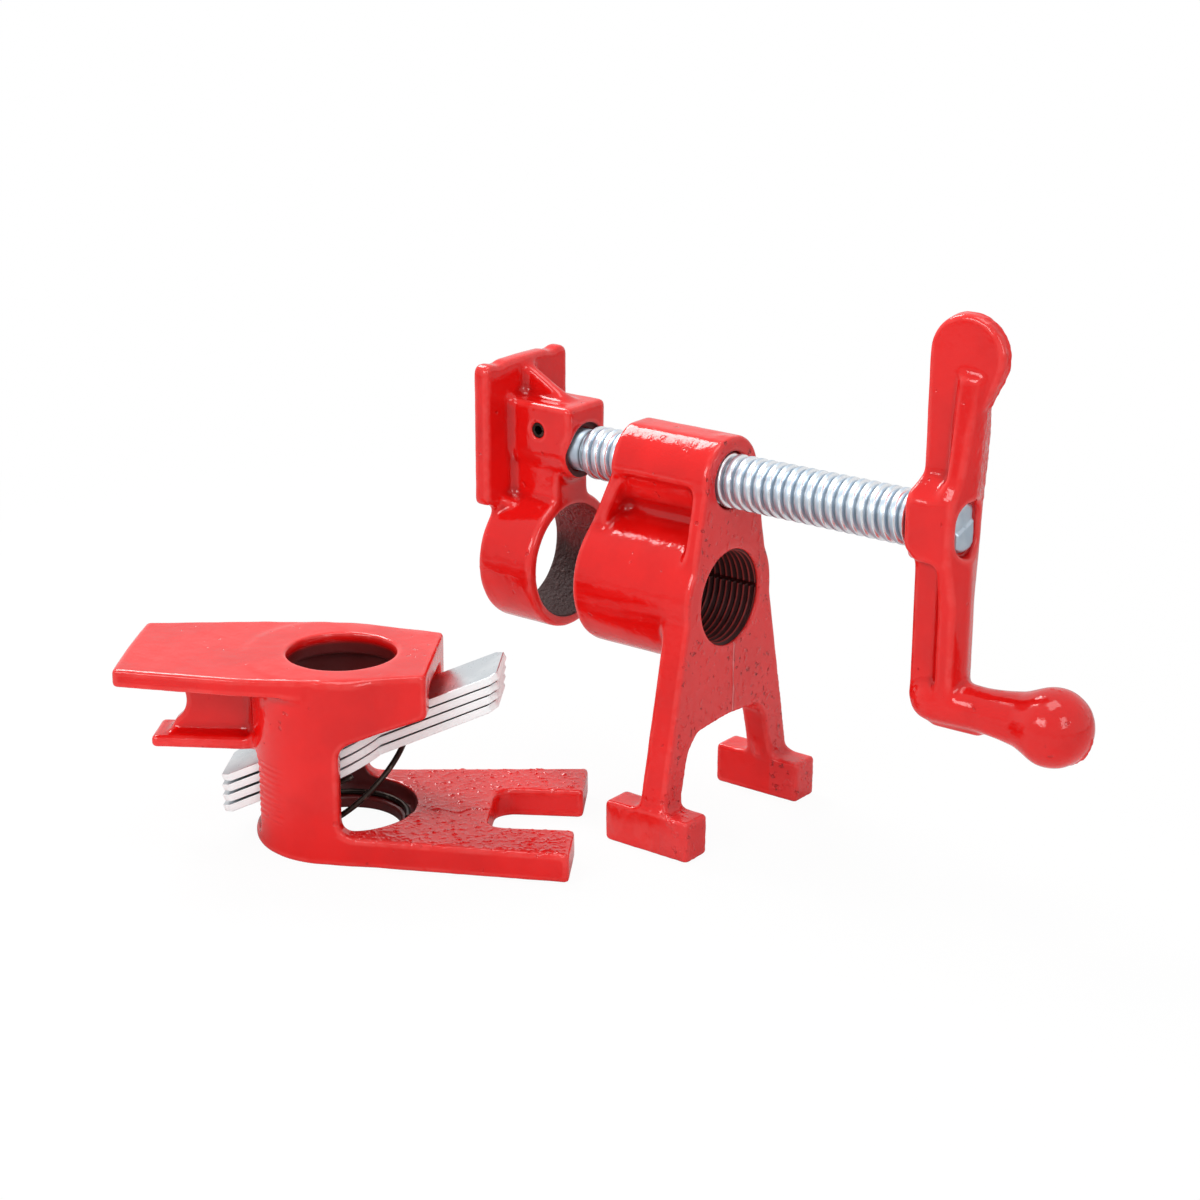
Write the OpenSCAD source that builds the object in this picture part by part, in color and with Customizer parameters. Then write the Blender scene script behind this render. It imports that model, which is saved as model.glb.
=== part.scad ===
// Pipe clamp fixture for 3/4 inch pipe: screw head with sliding jaw, and a loose tail stop.
// X runs along the screw towards the crank, Z is up. The origin is the centre of the
// head's threaded pipe hole at the outer face of its plate. All sizes in millimetres.

/* [Pipe and screw] */
// height of the screw axis above the pipe axis
screw_rise = 31.2; // [20:0.1:45]
// radius of the pipe thread at its crests in the head
pipe_thread_r = 12.1; // [8:0.05:16]
// depth of the slit and the entry chamfer behind the thread crests
pipe_thread_depth = 1.1; // [0.5:0.05:2]
// radius of the plain pipe bore in the tail stop's jaw plate
tail_bore_r = 14; // [10:0.05:20]
// radius of the plain pipe bore in the tail stop's bottom plate
tail_floor_bore_r = 14.2; // [10:0.05:20]
// radius of the plain pipe bore in the sliding jaw ring
ring_bore_r = 15.2; // [10:0.05:22]
// outer radius of the screw thread
screw_r = 7; // [4:0.05:12]
// depth of the screw thread
screw_thread_depth = 1.6; // [0.5:0.05:3]
// pitch of the screw thread
screw_pitch = 3; // [1.5:0.05:5]
// radial running clearance of the screw and its neck
run_clear = 0.05; // [0.01:0.01:0.1]
// gap between seated pieces of one body
seat_gap = 0.3; // [0.1:0.05:0.6]

/* [Head casting] */
// thickness of the A-shaped plate's legs along the screw
plate_t = 7.8; // [4:0.1:14]
// thickness of the plate's upper part, between the side pockets
plate_thin = 4.4; // [2:0.1:10]
// height above the pipe axis where the plate gets thinner
plate_step = 1.5; // [-10:0.1:12]
// radius of the plate's rounded top about the screw
plate_top_r = 11.3; // [8:0.1:20]
// half width of the plate at the foot tops
plate_foot_half = 28.6; // [18:0.1:45]
// height of the pipe axis above the ground
pipe_height = 62; // [40:0.5:90]
// height of the feet
foot_h = 11; // [5:0.1:20]
// half length of a foot along the screw
foot_half = 13.1; // [8:0.1:25]
// centre of a foot along the screw
foot_x = -4.8; // [-15:0.1:5]
// outer face of a foot across the screw
foot_out = 29.4; // [18:0.1:45]
// inner face of a foot across the screw
foot_in = 20.5; // [10:0.1:40]
// top of the arch below the pipe axis
arch_top = -33.2; // [-50:0.1:-20]
// half width of the arch at its top
arch_half_top = 13.5; // [6:0.1:20]
// half width of the arch where its corner ends
arch_half_mid = 17.2; // [8:0.1:24]
// height below the pipe axis where the arch corner ends
arch_mid = -37.2; // [-50:0.1:-20]
// radius of the pipe barrel
barrel_r = 18.6; // [14:0.1:26]
// far end of the pipe barrel
barrel_end = -37.4; // [-60:0.1:-20]
// radius of the screw boss
boss_r = 11.6; // [8:0.1:20]
// radius of the boss's lower half, inside the side pockets
boss_low_r = 9.8; // [7.6:0.1:18]
// flat top of the screw boss above the screw axis
boss_flat = 11; // [7:0.1:18]
// far end of the screw boss at its top
boss_end_top = -30.4; // [-50:0.1:-15]
// far end of the end rib where it meets the barrel
boss_end_low = -36; // [-55:0.1:-18]
// thickness of the end rib
end_rib_t = 3.6; // [2:0.1:8]
// half thickness of the centre web inside the side pockets
head_web_half = 3.4; // [1.5:0.1:8]
// width of the thin slit along the pipe thread
slit_w = 0.9; // [0.3:0.1:2]

/* [Sliding jaw] */
// clamping face of the jaw plate
jaw_face_x = -71.6; // [-90:0.1:-60]
// thickness of the jaw plate
jaw_plate_t = 5.1; // [3:0.1:10]
// half width of the jaw plate
jaw_half = 17.1; // [10:0.1:30]
// bottom of the jaw plate above the pipe axis
jaw_low = 15.8; // [8:0.1:25]
// top of the jaw plate above the pipe axis
jaw_top = 54; // [40:0.1:80]
// depth of the two dips in the jaw plate's top edge
jaw_dip_depth = 0.9; // [0.3:0.1:3]
// offset of the dips from the centre
jaw_dip_y = 11; // [5:0.1:20]
// end of the screw block towards the head
block_end = -46.6; // [-60:0.1:-30]
// half width of the screw block, and radius of its round underside
block_half = 7.9; // [5:0.1:14]
// top of the screw block above the screw axis
block_up = 12.4; // [8:0.1:20]
// half width of the neck between block and ring
neck_half = 6.8; // [4:0.1:14]
// outer radius of the ring
ring_r = 18.4; // [16:0.1:28]
// end of the ring away from the head
ring_far = -69.4; // [-90:0.1:-55]
// end of the ring towards the head
ring_near = -51.4; // [-70:0.1:-40]
// half thickness of the gusset over the block
gusset_half = 1.6; // [0.8:0.1:4]
// foot of the gusset on the block's top
gusset_end = -51.2; // [-65:0.1:-45]
// top of the gusset above the pipe axis
gusset_top = 51.6; // [44:0.1:70]

/* [Screw spindle] */
// end of the thread beside the sliding jaw
thread_start = -45.4; // [-60:0.1:-30]
// end of the thread at the crank
thread_end = 54; // [30:0.1:80]
// radius of the plain neck inside the jaw block
neck_r = 5.6; // [3:0.05:8]
// length of the plain neck
neck_len = 17.6; // [8:0.1:30]
// radius of the groove for the retaining pin
groove_r = 3.1; // [1.5:0.05:6]
// half width of the flats on the crank end
flat_half = 4; // [2:0.1:7]
// length of the flattened crank end
flat_len = 13.6; // [6:0.1:20]

/* [Retaining pin] */
// radius of the rolled pin
pin_r = 2; // [1:0.05:4]
// radius of the hole inside the rolled pin
pin_hole_r = 1.2; // [0.4:0.05:3]
// distance of the pin from the screw axis
pin_up = 5.2; // [3:0.05:9]
// place of the pin along the screw
pin_x = -57.2; // [-70:0.1:-45]
// width of the slit of the rolled pin
pin_slit = 0.5; // [0.2:0.05:1]

/* [Crank] */
// face of the hub towards the screw
hub_near = 54.3; // [40:0.1:80]
// edge of the crank's outer flange
flange_edge_x = 67; // [50:0.1:90]
// ridge of the crank's outer flange
flange_ridge_x = 69.4; // [50:0.1:90]
// thickness of the outer flange at its edge
flange_t = 3.8; // [2:0.1:8]
// half width of the hub
hub_half = 7.6; // [5:0.1:14]
// half height of the hub at its side faces
hub_side = 7; // [3:0.1:12]
// top of the hub's shoulder above the screw axis
hub_tall = 12.2; // [8:0.1:20]
// lower end of the hub below the screw axis
hub_low = 8.2; // [7.5:0.1:14]
// slope of the hub's lower back corner along the screw
hub_low_cut = 3.4; // [1:0.1:8]
// half thickness of the web
arm_web_half = 2.75; // [1.5:0.1:6]
// back edge of the upper arm
arm_back_up = 56; // [45:0.1:70]
// back edge of the lower arm
arm_back_low = 54.8; // [45:0.1:70]
// centre of the paddle along the screw
paddle_x = 66.2; // [50:0.1:90]
// height of the paddle's centre above the screw axis
paddle_up = 42; // [25:0.1:60]
// radius of the paddle
paddle_r = 10.1; // [6:0.1:18]
// half thickness of the paddle and upper web
paddle_half = 2.2; // [1.2:0.1:5]
// tip of the outer flange on the paddle, above the screw axis
flange_tip = 37.4; // [25:0.1:50]
// height above the screw axis where the flange starts to narrow towards its tip
flange_wide = 22; // [12:0.1:35]
// half width of the flange there, on the near side
flange_half = 4.7; // [2.5:0.1:8]
// half width of the flange at its tip
flange_tip_half = 3.4; // [2:0.1:7]
// angle by which the upper flange leans away from the screw
flange_lean = 3.5; // [0:0.1:8]
// half width of the flange above the hub, on the far side
flange_far_half = 8.2; // [4:0.1:12]
// half width of the flange on the lower arm
low_half = 5.3; // [3:0.1:10]
// distance of the handle axis below the screw axis
handle_down = 44.4; // [25:0.1:60]
// radius of the handle at the elbow
handle_r = 5.8; // [3:0.1:10]
// radius of the handle's ball
ball_r = 9.8; // [6:0.1:14]
// centre of the ball along the screw
ball_x = 93.5; // [80:0.1:130]
// place of the handle's waist along the screw
waist_x = 74; // [60:0.1:100]
// radius of the handle's waist
waist_r = 5.5; // [3:0.1:9]
// depth of the recess around the peened end
recess_depth = 1.4; // [0.5:0.1:3]

/* [Tail stop] */
// place of the tail stop's bore along X
tail_x = -74.5; // [-150:0.5:0]
// place of the tail stop's bore along Y
tail_y = -66.3; // [-150:0.5:-50]
// turn of the tail stop on the ground
tail_turn = 33; // [-90:1:90]
// height of the tail stop's jaw face
tail_h = 49.8; // [35:0.1:80]
// thickness of the tail stop's jaw plate
tail_top_t = 5; // [3:0.1:10]
// thickness of the forked bottom plate
tail_base_t = 8; // [4:0.1:14]
// length scale of the jaw plate's outline (bore to its far end)
tail_reach = 55.6; // [35:0.1:90]
// end of the jaw plate beyond the bore
tail_over = 24; // [16:0.1:40]
// outer radius of the tail barrel
tail_barrel_r = 23.2; // [18:0.1:32]
// radius of the hollow for plates and spring
tail_hollow_r = 18.4; // [16:0.1:26]
// depth of floor left under the spring
seat_t = 3.4; // [2:0.1:8]
// half width of the bottom plate at the fork
fork_half = 29; // [18:0.1:45]
// reach of the fork from the bore
fork_reach = 61; // [40:0.1:90]
// half width of the fork slot
fork_slot_half = 12.3; // [5:0.1:20]
// inner end of the fork slot
fork_slot_in = 38; // [25:0.1:60]
// corner radius of the fork slot
fork_slot_r = 5; // [1:0.1:10]
// left edge of the side windows
window_x = 2.4; // [-10:0.1:15]
// sill of the side windows
window_low = 9.6; // [8:0.1:25]
// drop from the jaw plate to the top of the side windows at their left edge
window_drop = 12.2; // [6:0.1:25]
// drop from the jaw plate to the bottom of the skirt at its outer end
skirt_drop = 6.6; // [2:0.1:20]
// half width of the slots for the plate tabs
tab_slot_half = 10.6; // [6:0.1:16]
// top of the slot in the closed side of the barrel
slot_top = 24.6; // [15:0.1:32]
// half width of the lower flange of the overhang
rib_flange_half = 6.6; // [3:0.1:16]
// underside of the overhang's lower flange
rib_flange_low = 24.3; // [15:0.1:40]
// thickness of the overhang's lower flange
rib_flange_t = 3; // [1.5:0.1:6]
// reach of the overhang's lower flange
rib_flange_reach = 49; // [35:0.1:70]
// half thickness of the overhang's web
rib_web_half = 2.5; // [1:0.1:6]
// reach of the overhang's web
rib_web_reach = 43.8; // [30:0.1:60]
// depth of the round cut in the web's free edge
rib_web_cut = 3.4; // [0:0.1:8]

/* [Clutch plates and spring] */
// thickness of a clutch plate
clutch_t = 2; // [1:0.05:4]
// radius of the pipe hole in a clutch plate
clutch_hole_r = 14.15; // [10:0.05:18]
// radius of the plate's round middle
clutch_mid_r = 16.9; // [14:0.05:24]
// half width of the plate's tabs
clutch_tab_half = 9.6; // [5:0.1:16]
// length of the plate from its fulcrum to the pressed end
clutch_long = 68.2; // [40:0.1:90]
// length of the plate behind its fulcrum
clutch_short = 9.6; // [4:0.1:20]
// cut corner of the plate's ends
clutch_corner = 2.2; // [0.5:0.1:5]
// place of the fulcrum from the bore axis
fulcrum_x = -21.6; // [-35:0.1:-15]
// height of the top plate's fulcrum
fulcrum_z = 20.6; // [10:0.1:35]
// height step from plate to plate at the fulcrum
fulcrum_step = 2.8; // [2:0.05:5]
// room under the jaw plate left by the top clutch plate at the fork end
tilt_room = 4.844; // [2:0.001:12]
// extra tilt of each further plate
clutch_fan = 0.25; // [0:0.05:2]
// radius of the spring wire
wire_r = 0.75; // [0.4:0.05:1.5]
// radius of the spring's coils
coil_r = 16.1; // [10:0.1:20]

/* [Hidden] */
// fine rounding used for true circles
$fn = 96;
wall_over = 1;
half_turn = 180;
full_turn = 360;
quarter = 90;
half = 0.5;
ground_z = -pipe_height;
foot_top_z = ground_z + foot_h;
groove_lead = 2.6;
thread_root_r = screw_r - screw_thread_depth;
thread_flat = screw_pitch * 0.3;
thread_run = thread_end - thread_start;
thread_turns = floor((thread_run - 2 * screw_pitch) / screw_pitch);
pin_slack = 0.05;
block_bore_r = neck_r + run_clear;
mouth_r = screw_r + 0.4;
mouth_depth = 1.6;
boss_bore_r = screw_r + run_clear;
flat_drop = 0.9;
flat_r = screw_r - flat_drop;
tail_base_z = ground_z;
// underside of the jaw plate, and the heights that hang from it
tail_under = tail_h - tail_top_t;
window_up = tail_under - window_drop;
skirt_up = tail_under - skirt_drop;
// tilt that leaves the top clutch plate its room under the jaw plate
clutch_tilt = atan((tail_under - tilt_room - fulcrum_z) / (tail_over - fulcrum_x));
tail_outline_shares = [
    [-1.0, 0], [-0.99, 0.333], [-0.43, 0.405], [-0.14, 0.414], [0, 0.401],
];
tail_end_half = 17;
tint_red = [0.80, 0.03, 0.03];
tint_zinc = [0.80, 0.82, 0.85];
tint_dark = [0.12, 0.10, 0.09];

// a cylinder along X from x0 to x1 at height z
module bar_x(r, x0, x1, z = 0, y = 0) {
    translate([x0, y, z]) rotate([0, quarter, 0]) cylinder(r = r, h = x1 - x0);
}

// a flat outline in Y and Z pushed along X from x0 to x1
module slab_x(x0, x1) {
    translate([x0, 0, 0]) rotate([quarter, 0, quarter]) linear_extrude(x1 - x0) children();
}

// a flat outline in X and Z pushed along Y from y0 to y1
module slab_y(y0, y1) {
    translate([0, y1, 0]) rotate([quarter, 0, 0]) linear_extrude(y1 - y0) children();
}

// a box between two corners
module box(a, b) {
    translate(a) cube(b - a);
}

// A-shaped plate outline with rounded top, splayed legs and the arch between them
module plate_outline() {
    difference() {
        union() {
            translate([0, screw_rise]) circle(r = plate_top_r);
            polygon([
                [-plate_foot_half, foot_top_z - foot_h * half], [plate_foot_half, foot_top_z - foot_h * half],
                [plate_foot_half, foot_top_z], [plate_top_r, screw_rise],
                [-plate_top_r, screw_rise], [-plate_foot_half, foot_top_z],
            ]);
        }
        polygon([
            [-foot_in, ground_z - foot_h], [-foot_in, foot_top_z], [-arch_half_mid, arch_mid],
            [-arch_half_top, arch_top], [0, arch_top + wall_over], [arch_half_top, arch_top],
            [arch_half_mid, arch_mid], [foot_in, foot_top_z], [foot_in, ground_z - foot_h],
        ]);
    }
}

module foot(side) {
    low = side > 0 ? foot_in : -foot_out;
    box([foot_x - foot_half, low, ground_z],
        [foot_x + foot_half, low + foot_out - foot_in, foot_top_z]);
}

module head_casting() {
    color(tint_red) difference() {
        union() {
            slab_x(-plate_thin, 0) plate_outline();
            intersection() {
                slab_x(-plate_t, 0) plate_outline();
                box([-plate_t, -foot_out, ground_z], [0, foot_out, plate_step]);
            }
            foot(1);
            foot(-1);
            bar_x(barrel_r, barrel_end, 0);
            // screw boss with a flat top, and a smaller radius below
            intersection() {
                bar_x(boss_r, boss_end_top, 0, screw_rise);
                box([boss_end_top, -boss_r, screw_rise], [0, boss_r, screw_rise + boss_flat]);
            }
            bar_x(boss_low_r, boss_end_top, 0, screw_rise);
            // centre web between boss and barrel
            slab_y(-head_web_half, head_web_half) polygon([
                [0, 0], [boss_end_low, 0], [boss_end_low, barrel_r - wall_over],
                [boss_end_top, screw_rise], [0, screw_rise],
            ]);
            // sloped end rib, as wide as boss at its top and narrower than the barrel below
            intersection() {
                slab_y(-boss_r, boss_r) polygon([
                    [boss_end_low, 0], [boss_end_low, barrel_r - wall_over],
                    [boss_end_top, screw_rise], [boss_end_top + end_rib_t, screw_rise],
                    [boss_end_low + end_rib_t, barrel_r - wall_over], [boss_end_low + end_rib_t, 0],
                ]);
                slab_x(boss_end_low, 0) polygon([
                    [-boss_r, 0], [-boss_r, barrel_r - boss_r * half], [-boss_r + wall_over, screw_rise],
                    [boss_r - wall_over, screw_rise], [boss_r, barrel_r - boss_r * half], [boss_r, 0],
                ]);
            }
        }
        // screw bore, right through
        bar_x(boss_bore_r, boss_end_low - wall_over, wall_over, screw_rise);
        // pipe hole at the thread crests, right through
        bar_x(pipe_thread_r, barrel_end - wall_over, wall_over);
        // entry chamfer on the pipe side
        translate([barrel_end - wall_over * half, 0, 0]) rotate([0, quarter, 0])
            cylinder(r1 = pipe_thread_r + pipe_thread_depth + wall_over * half,
                     r2 = pipe_thread_r, h = groove_lead);
        // thin slit along the thread, on both sides
        box([barrel_end - wall_over, -pipe_thread_r - pipe_thread_depth, -slit_w * half],
            [wall_over, pipe_thread_r + pipe_thread_depth, slit_w * half]);
    }
}

// jaw plate outline in Y and Z: rounded upper corners, two shallow dips in the top edge
module jaw_outline() {
    corner = jaw_plate_t * half;
    difference() {
        union() {
            translate([-jaw_half, jaw_low]) square([2 * jaw_half, jaw_top - jaw_low - corner]);
            translate([-jaw_half + corner, jaw_low]) square([2 * (jaw_half - corner), jaw_top - jaw_low]);
            for (s = [-1, 1]) translate([s * (jaw_half - corner), jaw_top - corner]) circle(r = corner);
        }
        for (s = [-1, 1]) translate([s * jaw_dip_y, jaw_top + jaw_plate_t - jaw_dip_depth])
            circle(r = jaw_plate_t);
    }
}

module jaw_casting() {
    back = jaw_face_x + jaw_plate_t;
    color(tint_red) difference() {
        union() {
            slab_x(jaw_face_x, back) jaw_outline();
            // screw block: square above, round below
            box([back - wall_over, -block_half, screw_rise],
                [block_end, block_half, screw_rise + block_up]);
            bar_x(block_half, back - wall_over, block_end, screw_rise);
            // neck down to the ring
            box([ring_far, -neck_half, ring_bore_r],
                [ring_near, neck_half, screw_rise - neck_half * half]);
            bar_x(ring_r, ring_far, ring_near);
            // plate foot blended onto the ring
            slab_x(jaw_face_x, ring_far + jaw_plate_t) polygon([
                [-neck_half - jaw_plate_t, jaw_low + wall_over], [-neck_half, ring_bore_r + wall_over],
                [neck_half, ring_bore_r + wall_over], [neck_half + jaw_plate_t, jaw_low + wall_over],
            ]);
            // gusset over the block
            slab_y(-gusset_half, gusset_half) polygon([
                [back - wall_over, screw_rise], [back - wall_over, gusset_top], [back + wall_over, gusset_top],
                [gusset_end, screw_rise + block_up], [gusset_end, screw_rise],
            ]);
        }
        bar_x(ring_bore_r, jaw_face_x - wall_over, ring_near + wall_over);
        // blind bore for the screw's neck, with a wider mouth
        bar_x(block_bore_r, thread_start - neck_len - seat_gap, block_end + wall_over, screw_rise);
        bar_x(mouth_r, block_end - mouth_depth, block_end + wall_over, screw_rise);
        // cross hole for the retaining pin
        translate([pin_x, -block_half - wall_over, screw_rise + pin_up]) rotate([-quarter, 0, 0])
            cylinder(r = pin_r + pin_slack, h = 2 * block_half + 2 * wall_over);
    }
}

module screw_spindle() {
    far = thread_start - neck_len;
    color(tint_zinc) difference() {
        union() {
            bar_x(thread_root_r, thread_start, thread_end, screw_rise);
            // thread as closed rings of one profile
            for (i = [0 : thread_turns])
                translate([thread_start + screw_pitch + i * screw_pitch, 0, screw_rise])
                    rotate([0, quarter, 0]) rotate_extrude() polygon([
                        [0, -screw_pitch * 0.42], [thread_root_r, -screw_pitch * 0.42],
                        [screw_r, -thread_flat * half], [screw_r, thread_flat * half],
                        [thread_root_r, screw_pitch * 0.42], [0, screw_pitch * 0.42],
                    ]);
            bar_x(neck_r, far, thread_start + wall_over, screw_rise);
            intersection() {
                bar_x(flat_r, thread_end - wall_over, thread_end + flat_len, screw_rise);
                box([thread_end - wall_over, -flat_half, screw_rise - flat_r],
                    [thread_end + flat_len, flat_half, screw_rise + flat_r]);
            }
        }
        // groove the retaining pin runs in
        translate([pin_x - pin_r - pin_slack, 0, screw_rise]) rotate([0, quarter, 0]) difference() {
            cylinder(r = neck_r + wall_over, h = 2 * (pin_r + pin_slack));
            translate([0, 0, -wall_over]) cylinder(r = groove_r, h = 2 * (pin_r + pin_slack + wall_over));
        }
    }
}

module retaining_pin() {
    len_half = block_half - seat_gap;
    color(tint_dark) translate([pin_x, -len_half, screw_rise + pin_up]) rotate([-quarter, 0, 0])
        difference() {
            cylinder(r = pin_r, h = 2 * len_half);
            translate([0, 0, -wall_over]) cylinder(r = pin_hole_r, h = 2 * (len_half + wall_over));
            translate([0, -pin_slit * half, -wall_over]) cube([pin_r + wall_over, pin_slit, 2 * (len_half + wall_over)]);
        }
}

// outline of the crank's outer flange, seen along the screw, about the screw axis
module flange_outline() {
    polygon([
        [-low_half, -handle_down], [low_half, -handle_down],
        [low_half, -hub_tall - hub_side], [hub_half, -hub_side], [flange_far_half, 0],
        [flange_far_half, flange_wide], [flange_tip_half, flange_tip], [-flange_tip_half, flange_tip],
        [-flange_half, flange_wide], [-flange_half - wall_over, hub_tall], [-hub_half, hub_side],
        [-hub_half, -hub_side], [-low_half, -hub_tall - hub_side],
    ]);
}

// length of the outer flange between two heights, flat inside and roof-shaped outside
module outer_flange(low, high) {
    intersection() {
        slab_x(flange_edge_x - flange_t, flange_ridge_x) flange_outline();
        translate([0, 0, low]) linear_extrude(high - low) polygon([
            [flange_edge_x - flange_t, -hub_half], [flange_edge_x - flange_t, flange_far_half],
            [flange_edge_x, flange_far_half], [flange_ridge_x, 0], [flange_edge_x, -hub_half],
        ]);
    }
}

// profile of the round handle: rounded elbow end, waist, ball
module handle_profile() {
    x0 = arm_back_low;
    polygon([
        [x0, 0], [x0 + handle_r * 0.06, handle_r * 0.35], [x0 + handle_r * 0.29, handle_r * 0.71],
        [x0 + handle_r * 0.62, handle_r * 0.93], [x0 + handle_r, handle_r],
        [waist_x - handle_r, handle_r * 0.98], [waist_x, waist_r],
        [waist_x + waist_r, waist_r * 1.09], [ball_x - ball_r * 0.87, ball_r * 0.7],
        [ball_x - ball_r * 0.5, ball_r * 0.866], [ball_x, ball_r * 0.9], [ball_x, 0],
    ]);
}

module crank_handle() {
    color(tint_red) translate([0, 0, screw_rise]) difference() {
        union() {
            // web of the lower arm, a flat piece in X and Z
            slab_y(-arm_web_half, arm_web_half) polygon([
                [arm_back_low, -handle_down], [flange_edge_x, -handle_down],
                [flange_edge_x, 0], [arm_back_low, 0],
            ]);
            // web of the upper arm, its round paddle and the corner between them
            slab_y(-paddle_half, paddle_half) union() {
                polygon([
                    [flange_edge_x, 0], [flange_edge_x, flange_wide],
                    [flange_ridge_x, flange_wide + flange_t],
                    [paddle_x + paddle_r * 0.85, paddle_up - paddle_r * 0.54],
                    [paddle_x + paddle_r * 0.9, paddle_up],
                    [paddle_x - paddle_r, paddle_up], [arm_back_up, hub_tall], [arm_back_up, 0],
                ]);
                translate([paddle_x, paddle_up]) circle(r = paddle_r);
            }
            // hub: sloped shoulder above, square end below
            intersection() {
                slab_x(hub_near, flange_edge_x) polygon([
                    [-hub_half, -hub_low], [hub_half, -hub_low], [hub_half, hub_side],
                    [arm_web_half, hub_tall], [-arm_web_half, hub_tall], [-hub_half, hub_side],
                ]);
                slab_y(-hub_half, hub_half) polygon([
                    [hub_near, hub_low_cut - hub_low], [hub_near, hub_side], [arm_back_up, hub_tall],
                    [flange_edge_x, hub_tall], [flange_edge_x, -hub_low], [hub_near + hub_low_cut, -hub_low],
                ]);
            }
            // outer flange with a roof-shaped face: straight below, leaning outwards above
            outer_flange(-handle_down, flange_wide * half);
            translate([flange_edge_x, 0, 0]) rotate([0, flange_lean, 0])
                translate([-flange_edge_x, 0, 0]) outer_flange(0, flange_tip);
            // round handle and ball
            translate([0, 0, -handle_down]) {
                rotate([quarter, 0, quarter]) rotate_extrude() rotate(quarter) mirror([0, 1]) handle_profile();
                translate([ball_x, 0, 0]) sphere(r = ball_r);
            }
        }
        // hole for the flattened screw end
        intersection() {
            bar_x(flat_r + pin_slack, hub_near - wall_over, flange_ridge_x + wall_over);
            box([hub_near - wall_over, -flat_half - pin_slack, -flat_r - wall_over],
                [flange_ridge_x + wall_over, flat_half + pin_slack, flat_r + wall_over]);
        }
        // recess around the peened end
        translate([flange_edge_x - recess_depth * half, 0, 0]) rotate([quarter, 0, quarter])
            linear_extrude(flange_ridge_x) union() {
                for (s = [-1, 1]) translate([0, s * (flat_r - flat_half)]) circle(r = flat_half + wall_over);
                translate([-flat_half - wall_over, -flat_r + flat_half])
                    square([2 * (flat_half + wall_over), 2 * (flat_r - flat_half)]);
            }
    }
}

// places a child drawn about the tail bore, with zero height on the ground
module tail_place() {
    translate([tail_x, tail_y, tail_base_z]) rotate([0, 0, tail_turn]) children();
}

module tail_top_outline() {
    polygon(concat(
        [for (p = tail_outline_shares) [p[0] * tail_reach, p[1] * tail_reach]],
        [[tail_over, tail_end_half], [tail_over, -tail_end_half]],
        [for (i = [len(tail_outline_shares) - 1 : -1 : 1])
            [tail_outline_shares[i][0] * tail_reach, -tail_outline_shares[i][1] * tail_reach]]
    ));
}

module tail_base_outline() {
    difference() {
        union() {
            circle(r = tail_barrel_r);
            polygon([
                [0, tail_barrel_r], [0, -tail_barrel_r],
                [fork_reach, -fork_half], [fork_reach, fork_half],
            ]);
        }
        // fork slot with round inner corners
        translate([fork_slot_in + fork_slot_r, -fork_slot_half])
            square([fork_reach, 2 * fork_slot_half]);
        translate([fork_slot_in, -fork_slot_half + fork_slot_r])
            square([fork_reach, 2 * (fork_slot_half - fork_slot_r)]);
        for (s = [-1, 1]) translate([fork_slot_in + fork_slot_r, s * (fork_slot_half - fork_slot_r)])
            circle(r = fork_slot_r);
    }
}

// plan of the barrel above the bottom plate: round back, flat sides, narrowing to the skirt end
module tail_wall_outline() {
    intersection() {
        union() {
            circle(r = tail_barrel_r);
            polygon([
                [0, tail_barrel_r], [0, -tail_barrel_r],
                [tail_over, -tail_end_half], [tail_over, tail_end_half],
            ]);
        }
        translate([-2 * tail_reach, -2 * tail_reach]) square([2 * tail_reach + tail_over, 4 * tail_reach]);
    }
}

module tail_casting() {
    color(tint_red) tail_place() difference() {
        union() {
            linear_extrude(tail_base_t) tail_base_outline();
            linear_extrude(tail_h - wall_over) tail_wall_outline();
            translate([0, 0, tail_under]) linear_extrude(tail_top_t) tail_top_outline();
            // overhang web with a round cut in its free edge
            slab_y(-rib_web_half, rib_web_half) difference() {
                polygon([
                    [-rib_web_reach, tail_under], [-rib_web_reach, rib_flange_low + rib_flange_t * half],
                    [-tail_hollow_r, rib_flange_low + rib_flange_t * half], [-tail_hollow_r, tail_under],
                ]);
                translate([-rib_web_reach - rib_web_cut, (tail_under + rib_flange_low + rib_flange_t) * half])
                    circle(r = 2 * rib_web_cut);
            }
            // lower flange of the overhang
            box([-rib_flange_reach, -rib_flange_half, rib_flange_low],
                [-tail_hollow_r, rib_flange_half, rib_flange_low + rib_flange_t]);
        }
        // pipe bore through the bottom plate and through the jaw plate
        translate([0, 0, -wall_over]) cylinder(r = tail_floor_bore_r, h = seat_t + 2 * wall_over);
        translate([0, 0, seat_t]) cylinder(r = tail_bore_r, h = tail_h);
        // hollow for the plates and the spring, leaving a floor and the jaw plate
        translate([0, 0, seat_t]) cylinder(r = tail_hollow_r, h = tail_under - seat_t - wall_over);
        // windows on both sides, open to the fork end, under a slanted skirt edge
        slab_y(-2 * tail_barrel_r, 2 * tail_barrel_r) polygon([
            [window_x, window_low], [window_x, window_up - 2 * wall_over],
            [window_x + 2 * wall_over, window_up], [tail_over, skirt_up],
            [tail_over + wall_over, skirt_up], [fork_reach + wall_over, skirt_up],
            [fork_reach + wall_over, tail_base_t], [window_x + 2 * wall_over, tail_base_t],
        ]);
        // way out for the plates under the jaw plate at the fork end
        box([0, -tab_slot_half, window_up - wall_over],
            [tail_over + wall_over, tab_slot_half, tail_under - wall_over]);
        // slot for the plate tails in the closed side
        box([-tail_barrel_r - wall_over, -tab_slot_half, seat_t],
            [0, tab_slot_half, slot_top]);
    }
}

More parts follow.
